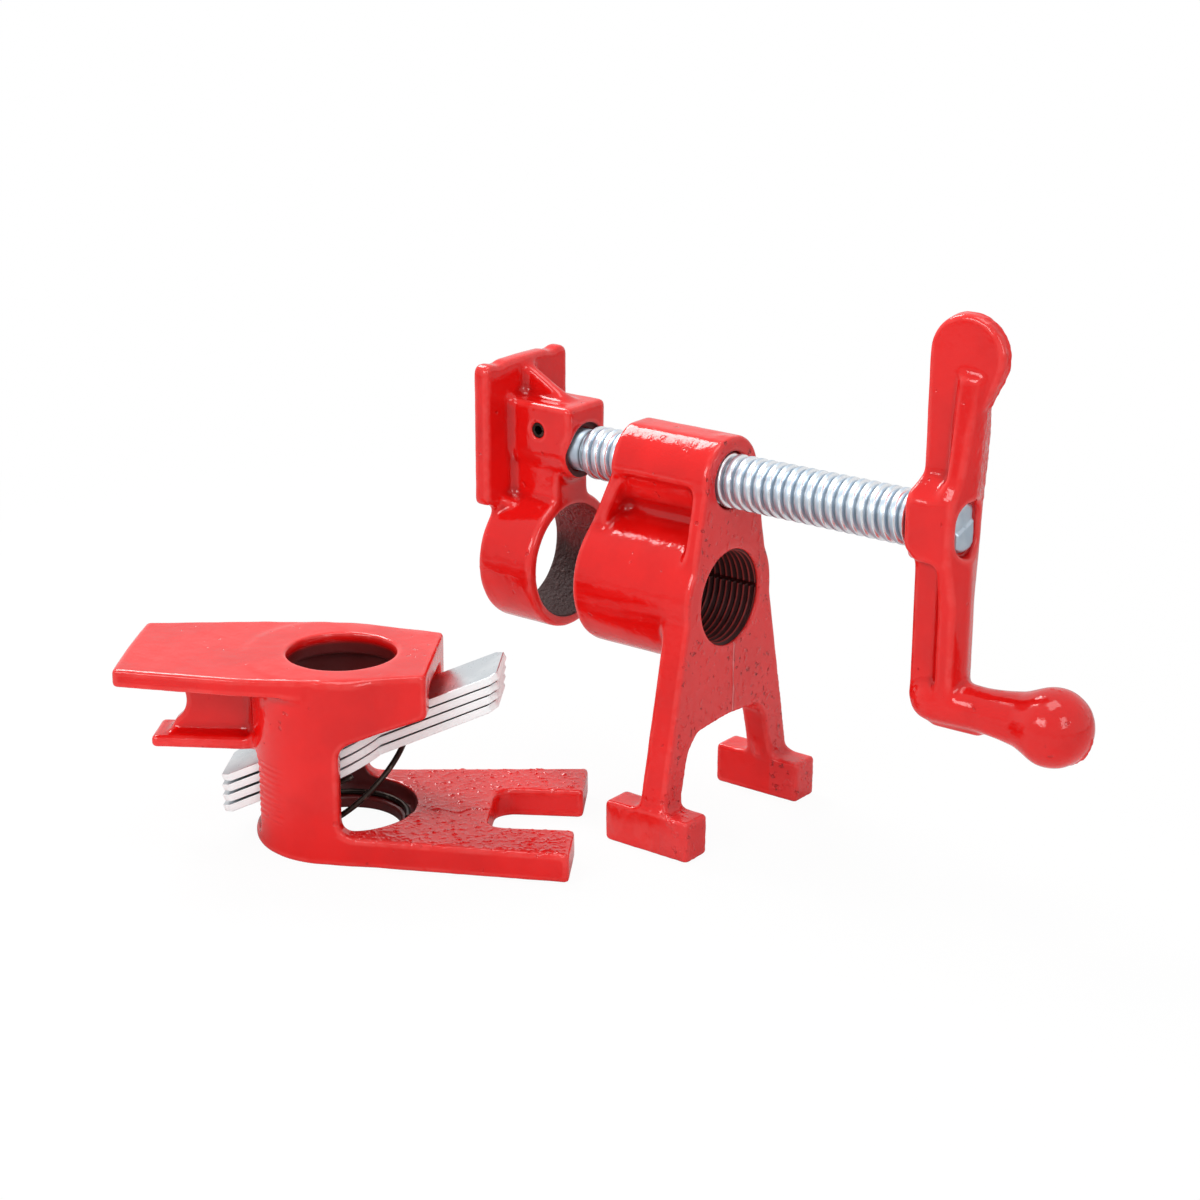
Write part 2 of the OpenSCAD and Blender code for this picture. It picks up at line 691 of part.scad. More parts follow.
// one clutch plate, drawn flat with its fulcrum at zero, pipe hole centred when square
module clutch_blank() {
    difference() {
        union() {
            polygon([
                [-clutch_short, -clutch_tab_half + clutch_corner], [-clutch_short + clutch_corner, -clutch_tab_half],
                [clutch_long - clutch_corner, -clutch_tab_half], [clutch_long, -clutch_tab_half + clutch_corner],
                [clutch_long, clutch_tab_half - clutch_corner], [clutch_long - clutch_corner, clutch_tab_half],
                [-clutch_short + clutch_corner, clutch_tab_half], [-clutch_short, clutch_tab_half - clutch_corner],
            ]);
            translate([-fulcrum_x, 0]) circle(r = clutch_mid_r);
        }
        translate([-fulcrum_x, 0]) circle(r = clutch_hole_r);
    }
}

module clutch_plate(i) {
    color(tint_zinc) tail_place()
        translate([fulcrum_x, 0, fulcrum_z - i * fulcrum_step]) rotate([0, -clutch_tilt - i * clutch_fan, 0])
            translate([0, 0, -clutch_t * half]) linear_extrude(clutch_t) clutch_blank();
}

module clutch_plate_1() { clutch_plate(0); }
module clutch_plate_2() { clutch_plate(1); }
module clutch_plate_3() { clutch_plate(2); }
module clutch_plate_4() { clutch_plate(3); }

// spring: a seat coil lies on the floor, climbs, and an end coil follows the lowest plate
spring_turns = 1.78;
spring_start = 2;
seat_share = 0.3;
climb_share = 0.58;
low_z = seat_t + wire_r + 0.08;
last_tilt = clutch_tilt + 3 * clutch_fan;
plate_under = fulcrum_z - 3 * fulcrum_step - clutch_t * half / cos(last_tilt);
under_gap = 0.35;
rings = 96;
sides = 6;
function ease(t) = t < 0 ? 0 : t > 1 ? 1 : t * t * (3 - 2 * t);
function top_z(u) = plate_under + (u - fulcrum_x) * tan(last_tilt) - (wire_r + under_gap) / cos(last_tilt);
function turn_at(t) = spring_start + t * spring_turns * full_turn;
function radius_at(t) = coil_r - 0.5 * ease(t);
function mid_at(t) = let (a = turn_at(t), r = radius_at(t), u = r * cos(a), k = ease((t - seat_share) / (climb_share - seat_share)))
    [u, r * sin(a), (1 - k) * low_z + k * top_z(u)];
function unit(v) = v / norm(v);
function dir_at(t) = unit(mid_at(t + 0.002) - mid_at(t - 0.002));
function side_at(t) = unit(cross(dir_at(t), [0, 0, 1]));
function up_at(t) = cross(side_at(t), dir_at(t));
// both ends run straight for one wire diameter: ring 0 and the last ring lie past the curve
function wire_mid(j) = j == 0 ? mid_at(0) - 2 * wire_r * dir_at(0)
    : j == rings + 2 ? mid_at(1) + 2 * wire_r * dir_at(1) : mid_at((j - 1) / rings);
function wire_t(j) = j == 0 ? 0 : j == rings + 2 ? 1 : (j - 1) / rings;
function ring_points(j) = let (t = wire_t(j)) [for (k = [0 : sides - 1]) wire_mid(j)
    + wire_r * cos(k * full_turn / sides) * side_at(t) + wire_r * sin(k * full_turn / sides) * up_at(t)];
last_ring = rings + 2;
wire_points = [for (j = [0 : last_ring]) each ring_points(j)];
// least gap of the wire to itself, measured on its middle points a third of a turn or more apart
wire_mids = [for (j = [0 : last_ring]) wire_mid(j)];
third_rings = round(rings / spring_turns / 3);
least_gap = min([for (i = [0 : last_ring - third_rings]) for (j = [i + third_rings : last_ring])
    norm(wire_mids[i] - wire_mids[j]) - 2 * wire_r]);
echo(least_gap_mm = least_gap);
wire_faces = concat(
    [[for (k = [0 : sides - 1]) k]],
    [for (j = [0 : last_ring - 1]) for (k = [0 : sides - 1])
        [j * sides + k, (j + 1) * sides + k, (j + 1) * sides + (k + 1) % sides, j * sides + (k + 1) % sides]],
    [[for (k = [sides - 1 : -1 : 0]) last_ring * sides + k]]
);

module clutch_spring() {
    color(tint_dark) tail_place() polyhedron(points = wire_points, faces = wire_faces, convexity = 8);
}

head_casting();
jaw_casting();
screw_spindle();
crank_handle();
retaining_pin();
tail_casting();
clutch_plate_1();
clutch_plate_2();
clutch_plate_3();
clutch_plate_4();
clutch_spring();
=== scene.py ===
import math

import bpy
import numpy as np
import openvdb as vdb
from mathutils import Matrix


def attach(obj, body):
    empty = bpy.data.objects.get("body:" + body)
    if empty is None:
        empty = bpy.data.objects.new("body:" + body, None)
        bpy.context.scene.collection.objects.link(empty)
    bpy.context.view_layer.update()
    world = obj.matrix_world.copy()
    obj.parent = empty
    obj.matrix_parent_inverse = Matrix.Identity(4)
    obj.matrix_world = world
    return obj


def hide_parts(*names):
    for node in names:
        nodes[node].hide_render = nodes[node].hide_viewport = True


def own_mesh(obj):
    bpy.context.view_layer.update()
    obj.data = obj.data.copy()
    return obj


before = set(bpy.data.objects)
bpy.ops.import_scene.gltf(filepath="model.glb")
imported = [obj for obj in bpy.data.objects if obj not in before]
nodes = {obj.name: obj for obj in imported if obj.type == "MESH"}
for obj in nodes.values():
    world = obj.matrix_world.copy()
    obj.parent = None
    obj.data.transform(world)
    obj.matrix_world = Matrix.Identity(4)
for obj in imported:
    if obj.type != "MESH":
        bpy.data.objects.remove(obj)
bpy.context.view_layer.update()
MM = 0.001
TURN = 2 * math.pi

# sizes of the clamp in millimetres, in the frame whose origin is the head's pipe hole: X runs
# along the screw towards the crank, Y away from the viewer, Z up
GROUND_Z = -62.0
SCREW_Z = 31.2
HEAD_BACK = -37.4
PIPE_CREST_R = 12.1
PIPE_ROOT_R = 13.15
PIPE_RIM_R = 12.5
PIPE_LINER_R = 13.4
PIPE_PITCH = 25.4 / 14
THREAD_FROM, THREAD_TO = -45.4, 54.0
SCREW_PITCH = 3.0
SCREW_R = 7.0
CORE_R = 5.45
NECK_R = 5.6
THREAD_DEEP = 1.42
BOSS_BORE_R = 7.4
BLOCK_BORE_R = 5.8
RING_BORE_R = 15.2
PIN_X, PIN_UP = -57.2, 5.2
PIN_R, PIN_BORE_R, PIN_HOLE_R = 2.0, 1.2, 2.05

# the tail stop's own frame: its place, its turn, and sizes in it
TAIL_AT = np.array([-74.5, -66.3, GROUND_Z])
TAIL_TURN = math.radians(33)
TAIL_TOP_R = 14.0
TAIL_FLOOR_R = 14.2
SEAT_T = 3.4
FULCRUM_X, FULCRUM_Z, FULCRUM_STEP = -21.6, 20.6, 2.8
TILT, FAN = math.radians(23), math.radians(0.25)
PLATE_HOLE_R = 14.15

# most triangles of one casting
MOST_TRIANGLES = 190000


# volumes

def levelled(points, tris, quads, size, reach):
    """Signed distance to a closed surface on a grid of cubes: size is a cube's edge in mm,
    reach the number of cubes over which the distance is kept. Negative inside."""
    return vdb.FloatGrid.createLevelSetFromPolygons(
        points.astype(np.float32), triangles=tris.astype(np.uint32), quads=quads.astype(np.uint32),
        transform=vdb.createLinearTransform(voxelSize=size), halfWidth=float(reach))


def soup(node, place):
    """Corners in mm and triangles of a CAD node, with doubled corners merged."""
    mesh = nodes[node].data
    co = np.empty(len(mesh.vertices) * 3)
    mesh.vertices.foreach_get("co", co)
    mesh.calc_loop_triangles()
    tri = np.empty(len(mesh.loop_triangles) * 3, np.int64)
    mesh.loop_triangles.foreach_get("vertices", tri)
    once, back = np.unique(np.round(co.reshape(-1, 3) / MM, 3), axis=0, return_inverse=True)
    tri = back.reshape(-1)[tri].reshape(-1, 3)
    tri = tri[(tri[:, 0] != tri[:, 1]) & (tri[:, 1] != tri[:, 2]) & (tri[:, 2] != tri[:, 0])]
    return place(once), tri


class Cube:
    """A box of cubes around a casting: holds the distance array and the places of its cells."""

    def __init__(self, lo, hi, size):
        self.size = size
        self.first = np.floor(np.array(lo) / size).astype(int) - 4
        self.shape = tuple(np.ceil(np.array(hi) / size).astype(int) + 5 - self.first)
        axes = [(self.first[k] + np.arange(self.shape[k])) * size for k in range(3)]
        self.x, self.y, self.z = np.meshgrid(*axes, indexing="ij", sparse=True)

    def array(self, grid):
        """Values of a volume on this box of cubes."""
        out = np.empty(self.shape, np.float32)
        grid.copyToArray(out, ijk=tuple(int(v) for v in self.first))
        return out

    def grid(self, array):
        """Volume from an array on this box."""
        made = vdb.FloatGrid(float(array.max()))
        first = tuple(int(v) for v in self.first)
        made.copyFromArray(np.ascontiguousarray(array, np.float32), ijk=first)
        made.transform = vdb.createLinearTransform(voxelSize=self.size)
        made.gridClass = vdb.GridClass.LEVEL_SET
        return made

    def rounded(self, array, radius):
        """Moves the surface out by radius, measures again and moves it back, which leaves inner
        corners with that radius. A negative radius does the same inwards, for outer edges."""
        if radius == 0:
            return array
        reach = abs(radius) / self.size + 3
        points, tris, quads = self.grid(softened(array, 1)).convertToPolygons(isovalue=radius)
        moved = softened(self.array(levelled(points, tris, quads, self.size, reach)), 1)
        points, tris, quads = self.grid(moved).convertToPolygons(isovalue=-radius)
        return self.array(levelled(points, tris, quads, self.size, reach + 1))

    def at(self, array, points):
        """Value of an array at points, straight-line mix of the eight cells around each."""
        p = points / self.size - self.first
        i = np.clip(np.floor(p).astype(int), 0, np.array(self.shape) - 2)
        f = p - i
        out = np.zeros(len(points))
        for c in range(8):
            d = np.array([c & 1, c >> 1 & 1, c >> 2 & 1])
            w = np.prod(np.where(d, f, 1 - f), axis=1)
            j = i + d
            out += w * array[j[:, 0], j[:, 1], j[:, 2]]
        return out


def rod(c, r, x0, x1, y=0.0, z=0.0):
    """Distance to a cylinder along X."""
    return np.maximum(np.hypot(c.y - y, c.z - z) - r, np.abs(c.x - (x0 + x1) / 2) - (x1 - x0) / 2)


def post(c, r, z0, z1, x=0.0, y=0.0):
    """Distance to a cylinder along Z."""
    return np.maximum(np.hypot(c.x - x, c.y - y) - r, np.abs(c.z - (z0 + z1) / 2) - (z1 - z0) / 2)


def slab(c, lo, hi):
    """Distance to a box between two corners."""
    far = [np.abs(a - (l + h) / 2) - (h - l) / 2 for a, l, h in zip((c.x, c.y, c.z), lo, hi)]
    return np.maximum(np.maximum(far[0], far[1]), far[2])


def blend(a, b, k):
    """Union of two distances with a soft seam of width k."""
    h = np.clip(0.5 + 0.5 * (b - a) / k, 0, 1)
    return b * (1 - h) + a * h - k * h * (1 - h)


def cut(a, b, k):
    """Takes b out of a, with an edge softened over k."""
    return -blend(-a, b, k)


def softened(a, steps):
    """Mean over a small cube of cells around each cell."""
    for axis in range(3):
        a = sum(np.roll(a, s, axis) for s in range(-steps, steps + 1)) / (2 * steps + 1)
    return a


def ripple(p, waves, seed):
    """Smooth lumps, about -1 to 1: a sum of sines along fixed random directions at points p in mm."""
    rng = np.random.default_rng(seed)
    out = np.zeros(len(p))
    for length in waves:
        for _ in range(5):
            d = rng.normal(size=3)
            d *= TURN / length / np.linalg.norm(d)
            out += np.sin(p @ d + rng.uniform(0, TURN) + 0.8 * np.sin(p @ d[::-1] * 0.7))
    return out / (2.2 * math.sqrt(5 * len(waves)))


# meshes

def mesh_piece(name, points, quads, tris, body, smooth=True):
    """Makes an object from points in mm and faces, riding on a body."""
    mesh = bpy.data.meshes.new(name)
    faces = [f for f in (quads, tris) if f is not None and len(f)]
    loops = np.concatenate([f.reshape(-1) for f in faces])
    sizes = np.concatenate([np.full(len(f), f.shape[1]) for f in faces])
    mesh.vertices.add(len(points))
    mesh.vertices.foreach_set("co", (points * MM).astype(np.float32).reshape(-1))
    mesh.loops.add(len(loops))
    mesh.loops.foreach_set("vertex_index", loops.astype(np.int32))
    mesh.polygons.add(len(sizes))
    starts = np.concatenate([[0], np.cumsum(sizes)[:-1]])
    mesh.polygons.foreach_set("loop_start", starts.astype(np.int32))
    mesh.polygons.foreach_set("loop_total", sizes.astype(np.int32))
    mesh.update(calc_edges=True)
    mesh.validate()
    mesh.polygons.foreach_set("use_smooth", np.full(len(mesh.polygons), smooth))
    piece = bpy.data.objects.new(name, mesh)
    bpy.context.scene.collection.objects.link(piece)
    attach(piece, body)
    return piece


def outward(points, quads, tris):
    """Turns all faces over if the volume they close comes out negative."""
    total = 0.0
    for f in (quads, tris):
        if f is not None and len(f):
            a = points[f[:, 0]]
            for k in range(1, f.shape[1] - 1):
                total += np.einsum("ij,ij->i", a, np.cross(points[f[:, k]], points[f[:, k + 1]])).sum()
    if total < 0:
        quads = quads[:, ::-1] if quads is not None and len(quads) else quads
        tris = tris[:, ::-1] if tris is not None and len(tris) else tris
    return quads, tris


def wrapped(rows, cols, close_rows, close_cols):
    """Quads of a grid of points with rows and cols, closed round either way or not."""
    i, j = np.meshgrid(np.arange(rows if close_rows else rows - 1),
                       np.arange(cols if close_cols else cols - 1), indexing="ij")
    i, j = i.ravel(), j.ravel()
    i2, j2 = (i + 1) % rows, (j + 1) % cols
    return np.stack([i * cols + j, i2 * cols + j, i2 * cols + j2, i * cols + j2], axis=1)


def vertex_normals(points, quads, tris):
    """Sum of the faces' normals at each corner, made unit length."""
    out = np.zeros_like(points)
    for f in (quads, tris):
        if f is not None and len(f):
            n = np.cross(points[f[:, 2]] - points[f[:, 0]], points[f[:, -1]] - points[f[:, 1]])
            for k in range(f.shape[1]):
                for axis in range(3):
                    out[:, axis] += np.bincount(f[:, k], n[:, axis], len(points))
    return out / np.maximum(np.linalg.norm(out, axis=1, keepdims=True), 1e-9)


def same(p):
    """Keeps points where they are: the frame of all castings but the tail stop."""
    return p


def to_tail(p):
    """World mm to the tail stop's own frame: X towards the fork, Z up from the ground."""
    q = p - TAIL_AT
    c, s = math.cos(TAIL_TURN), math.sin(TAIL_TURN)
    return np.stack([c * q[:, 0] + s * q[:, 1], -s * q[:, 0] + c * q[:, 1], q[:, 2]], axis=1)


def from_tail(p):
    """The tail stop's own frame back to world mm."""
    c, s = math.cos(TAIL_TURN), math.sin(TAIL_TURN)
    return np.stack([c * p[:, 0] - s * p[:, 1], s * p[:, 0] + c * p[:, 1], p[:, 2]], axis=1) + TAIL_AT


def thinned(piece, total):
    """Collapses edges until no more than MOST_TRIANGLES of a casting's triangles are left."""
    thin = piece.modifiers.new("thin", "DECIMATE")
    thin.ratio = MOST_TRIANGLES / total
    bpy.context.view_layer.update()
    shown = piece.evaluated_get(bpy.context.evaluated_depsgraph_get())
    lean = bpy.data.meshes.new_from_object(shown)
    piece.modifiers.clear()
    piece.data = lean


def lay_normals(piece, c, a, lumps, place, back):
    """Corner normals from the slope of the distance, less the slope of the lumps along the same
    steps, which is smoother than the mesh's own."""
    p = np.empty(len(piece.data.vertices) * 3, np.float32)
    piece.data.vertices.foreach_get("co", p)
    p = place(p.reshape(-1, 3).astype(float) / MM)
    size = c.size
    steps = np.eye(3) * size * 0.7
    slope = np.stack([c.at(a, p + d) - c.at(a, p - d) for d in steps], axis=1)
    n = slope / np.maximum(np.linalg.norm(slope, axis=1, keepdims=True), 1e-9)
    rise = np.stack([lumps(p + d, n) - lumps(p - d, n) for d in steps * 0.5], axis=1)
    slope = slope / (2 * size * 0.7) - rise / (size * 0.7)
    slope /= np.maximum(np.linalg.norm(slope, axis=1, keepdims=True), 1e-9)
    turned = back(slope) - back(np.zeros((1, 3)))
    piece.data.normals_split_custom_set_from_vertices(turned.tolist())


def casting(name, node, body, size, fillet, edge, before, after, lumps, place=same, back=same):
    """Turns a CAD node into a sand casting: its distance volume gets the holes plugged and the
    cast extras added (before), inner corners filleted and outer edges rounded, the machined holes
    cut again (after), and its surface moved along its normals by small lumps. size is a cube's
    edge; place and back lead to the casting's own frame and out of it. The attribute bend is
    above 0 on outer edges and below 0 in inner corners."""
    points, tris = soup(node, place)
    c = Cube(points.min(0), points.max(0), size)
    a = c.array(levelled(points, tris, np.zeros((0, 4)), size, max(fillet, edge) / size + 4))
    a = before(c, a)
    a = c.rounded(a, fillet)
    a = c.rounded(a, -edge)
    a = softened(after(c, a), 1)
    p, t, q = c.grid(a).convertToPolygons(isovalue=0.0)
    p, t, q = p.astype(float), t.astype(np.int64), q.astype(np.int64)
    q, t = outward(p, q, t)
    bend = (c.at(softened(a, 2), p) - c.at(a, p)) / (0.4 * size)
    n = vertex_normals(p, q, t)
    p = np.clip(p + n * lumps(p, n)[:, None], points.min(0), points.max(0))
    piece = mesh_piece(name, back(p), q, t, body)
    held = piece.data.attributes.new("bend", "FLOAT", "POINT")
    held.data.foreach_set("value", bend.astype(np.float32))
    total = len(q) * 2 + len(t)
    if total > MOST_TRIANGLES:
        thinned(piece, total)
    lay_normals(piece, c, a, lumps, place, back)
    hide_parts(node)
    print(name, total, "triangles, kept", len(piece.data.polygons))
    return piece


# head

def head_before(c, a):
    """Plugs the pipe hole and the screw's hole, and adds thin flash at the legs' inner edges."""
    a = np.minimum(a, rod(c, 14, HEAD_BACK, 0))
    a = np.minimum(a, rod(c, SCREW_R + 1, -30.2, 0, 0, SCREW_Z))
    flash = np.maximum(np.abs(c.x + 3.9) - 0.35, np.abs(np.abs(c.y) - 20.0) - 1.1)
    return np.minimum(a, np.maximum(flash, np.abs(c.z + 44.5) - 5.5))


def head_after(c, a):
    """Cuts the room of the pipe thread behind a narrower rim, and the screw's hole."""
    a = cut(a, rod(c, PIPE_LINER_R, HEAD_BACK - 9, -1.2), 0.2)
    a = cut(a, rod(c, PIPE_RIM_R, -3, 9), 0.5)
    return cut(a, rod(c, BOSS_BORE_R, HEAD_BACK - 9, 9, 0, SCREW_Z), 0.5)


def head_lumps(p, n):
    """Gentle waves all over, small bumps along the arch's rim and down the legs, and a low ridge
    under the pipe hole where the mould halves met, which wanders by a sine of the height."""
    low = np.clip((-14 - p[:, 2]) / 16, 0, 1)
    rim = np.exp(-(n[:, 0] - 0.72) ** 2 / 0.06)
    line = np.exp(-((p[:, 1] - 1.8 + 0.5 * np.sin(p[:, 2] * 0.5)) / 0.28) ** 2)
    line = line * (n[:, 0] > 0.8) * (p[:, 2] < -12.4)
    return (0.05 * ripple(p, (12, 7), 3) + 0.012 * ripple(p, (2.6,), 8)
            + 0.04 * low * ripple(p, (3.1,), 4) + 0.10 * low * rim * ripple(p, (2.4, 1.5), 5) + 0.22 * line)


head = casting("head_cast", "head_casting", "head", 0.42, 1.5, 0, head_before, head_after, head_lumps)


def pipe_thread():
    """Wall of the pipe hole: radius runs between crest and root as a soft triangle wave of
    along/pitch + angle/turn, with a groove at both sides where the mould halves met; an outer
    wall inside the metal closes it."""
    cols, rows = 256, 168
    ang = np.arange(cols) / cols * TURN
    x = np.linspace(HEAD_BACK + 0.05, -0.9, rows)
    phase = x[:, None] / PIPE_PITCH + ang[None, :] / TURN
    wave = np.abs((phase % 1) * 2 - 1)
    wave = np.clip(1.25 * wave - 0.12, 0, 1)
    fade = np.clip((HEAD_BACK + 4.2 - x) / 2.6, 0, 1)[:, None]
    r = PIPE_CREST_R + (PIPE_ROOT_R - PIPE_CREST_R) * np.maximum(wave, fade)
    side = np.exp(-(np.sin(ang) * PIPE_CREST_R / 0.45) ** 4)
    r = np.maximum(r, PIPE_CREST_R + (PIPE_ROOT_R + 0.1 - PIPE_CREST_R) * side[None, :])
    outer = np.full(cols, 13.7)
    rr = np.vstack([outer, r, outer])
    xx = np.concatenate([[x[0]], x, [x[-1]]])
    xx_all = np.broadcast_to(xx[:, None], rr.shape)
    p = np.stack([xx_all, rr * np.cos(ang), rr * np.sin(ang)], axis=2).reshape(-1, 3)
    q = wrapped(len(xx), cols, True, True)
    q, _ = outward(p, q, None)
    return mesh_piece("head_pipe_thread", p, q, None, "head")


thread = pipe_thread()

# jaw

def jaw_before(c, a):
    """Plugs the ring, the screw's hole and the pin's hole."""
    a = np.minimum(a, rod(c, 16.4, -69.4, -51.4))
    a = np.minimum(a, rod(c, 7.6, -66, -46.6, 0, SCREW_Z))
    hole = np.maximum(np.hypot(c.x - PIN_X, c.z - SCREW_Z - PIN_UP) - 2.6, np.abs(c.y) - 7.9)
    return np.minimum(a, hole)


def jaw_after(c, a):
    """Bores the ring, the screw's mouth, the neck's hole and the pin's hole."""
    a = cut(a, rod(c, RING_BORE_R, -80, -40), 0.7)
    a = cut(a, rod(c, 7.3, -48.4, -40, 0, SCREW_Z), 0.3)
    a = cut(a, rod(c, BLOCK_BORE_R, -63.3, -40, 0, SCREW_Z), 0.3)
    hole = np.maximum(np.hypot(c.x - PIN_X, c.z - SCREW_Z - PIN_UP) - PIN_HOLE_R, np.abs(c.y) - 20)
    return cut(a, hole, 0.3)


def jaw_lumps(p, n):
    """Waves, and a faint ridge on the ring's near side where the mould halves met."""
    line = np.exp(-((p[:, 2] + 1.0 + 0.2 * np.sin(p[:, 0])) / 0.3) ** 2) * (p[:, 1] < -10)
    return 0.05 * ripple(p, (11, 6), 7) + 0.06 * line


jaw = casting("jaw_cast", "jaw_casting", "jaw", 0.36, 1.5, 0.5, jaw_before, jaw_after, jaw_lumps)

# crank

def crank_before(c, a):
    """Plugs the hole of the flattened screw end and adds a thin fin of flash under the elbow."""
    a = np.minimum(a, slab(c, (54.3, -5.5, SCREW_Z - 8.5), (66.4, 5.5, SCREW_Z + 8.5)))
    fin = slab(c, (61, -1.7, SCREW_Z - 51.2), (74.5, 1.7, SCREW_Z - 49))
    return np.minimum(a, fin)


def crank_after(c, a):
    """Sinks the oblong recess of the peened end: a circle drawn apart by 2.2 mm each way."""
    z = np.abs(c.z - SCREW_Z)
    oblong = np.hypot(c.y, np.maximum(z - 2.2, 0)) - 4.9
    return cut(a, np.maximum(oblong, 66.2 - c.x), 0.5)


def crank_lumps(p, n):
    """Waves, rough cast skin on the upper outer facet, a parting ridge round paddle and ball, and
    flash on the ball's lower end."""
    up = p[:, 2] - SCREW_Z
    rough = np.clip((p[:, 0] - 66) / 1.5, 0, 1) * np.clip((p[:, 1] + 3) / 2, 0, 1)
    rough = rough * (up > 6) * (n[:, 0] > 0.3)
    thin = np.abs(n[:, 1]) < 0.75
    paddle = np.exp(-((p[:, 1] - 0.9) / 0.32) ** 2) * (up > 30) * thin
    ball = np.exp(-((p[:, 1] - 1.2) / 0.45) ** 2) * (p[:, 0] > 92)
    ball = ball * (n[:, 2] < -0.1) * (n[:, 0] > -0.3)
    seam = np.exp(-(p[:, 1] / 0.4) ** 2) * (p[:, 0] > 68) * (up < -34) * (n[:, 2] > 0.3)
    return (0.06 * ripple(p, (12, 6), 11) + 0.16 * rough * ripple(p, (2.6, 1.7), 12)
            + 0.22 * paddle + ball * (0.45 + 0.35 * ripple(p, (3.0, 1.6), 13))
            + seam * 0.25 * np.maximum(ripple(p, (2.2, 1.3), 14), 0))


crank = casting("crank_cast", "crank_handle", "spindle", 0.36, 0.9, 0.4, crank_before, crank_after,
                crank_lumps)

# tail stop

def tail_before(c, a):
    """Plugs the hole of the jaw plate and that of the spring's seat."""
    a = np.minimum(a, post(c, 15.5, 44.8, 49.8))
    return np.minimum(a, post(c, 15.5, 0, SEAT_T))


def tail_after(c, a):
    """Bores the jaw plate and the floor for the pipe."""
    a = cut(a, post(c, TAIL_TOP_R, 20, 60), 0.8)
    return cut(a, post(c, TAIL_FLOOR_R, -9, 20), 0.6)


def tail_lumps(p, n):
    """Waves, scattered pimples on the fork plate's top, a wandering parting ridge across it, and
    small ribs where the plates come out of the barrel."""
    foot = np.clip((p[:, 0] - 8) / 8, 0, 1) * np.clip((14 - p[:, 2]) / 4, 0, 1) * np.clip(n[:, 2], 0, 1)
    across = p[:, 1] + 2.0 + 1.8 * np.sin(p[:, 0] * 0.28) + 0.7 * np.sin(p[:, 0] * 0.9)
    ridge = np.exp(-(across / 0.5) ** 2) * foot * (p[:, 0] > 17)
    combs = np.clip((-12 - p[:, 0]) / 2, 0, 1) * (p[:, 1] < -5) * (np.abs(p[:, 2] - 17) < 8)
    return (0.06 * ripple(p, (13, 7), 17) + foot * (0.06 * ripple(p, (8, 5), 18)
            + 0.55 * np.maximum(ripple(p, (2.6, 1.7), 19) - 0.30, 0)) + 0.25 * ridge
            + 0.10 * combs * np.sin(p[:, 2] * TURN / 1.6))


tail = casting("tail_cast", "tail_casting", "tail", 0.42, 1.9, 0, tail_before, tail_after, tail_lumps,
               to_tail, from_tail)

# screw

def welded(points, quads):
    """Merges corners that share a place; a quad that loses a corner becomes a triangle."""
    once, back = np.unique(np.round(points, 4), axis=0, return_inverse=True)
    quads = back.reshape(-1)[quads]
    same_as_next = quads == np.roll(quads, -1, axis=1)
    lost = same_as_next.sum(axis=1)
    flat = quads[lost == 1]
    hole = np.argmax(flat == np.roll(flat, -1, axis=1), axis=1)
    order = (hole[:, None] + np.arange(1, 4)) % 4
    return once, quads[lost == 0], np.take_along_axis(flat, order, axis=1)


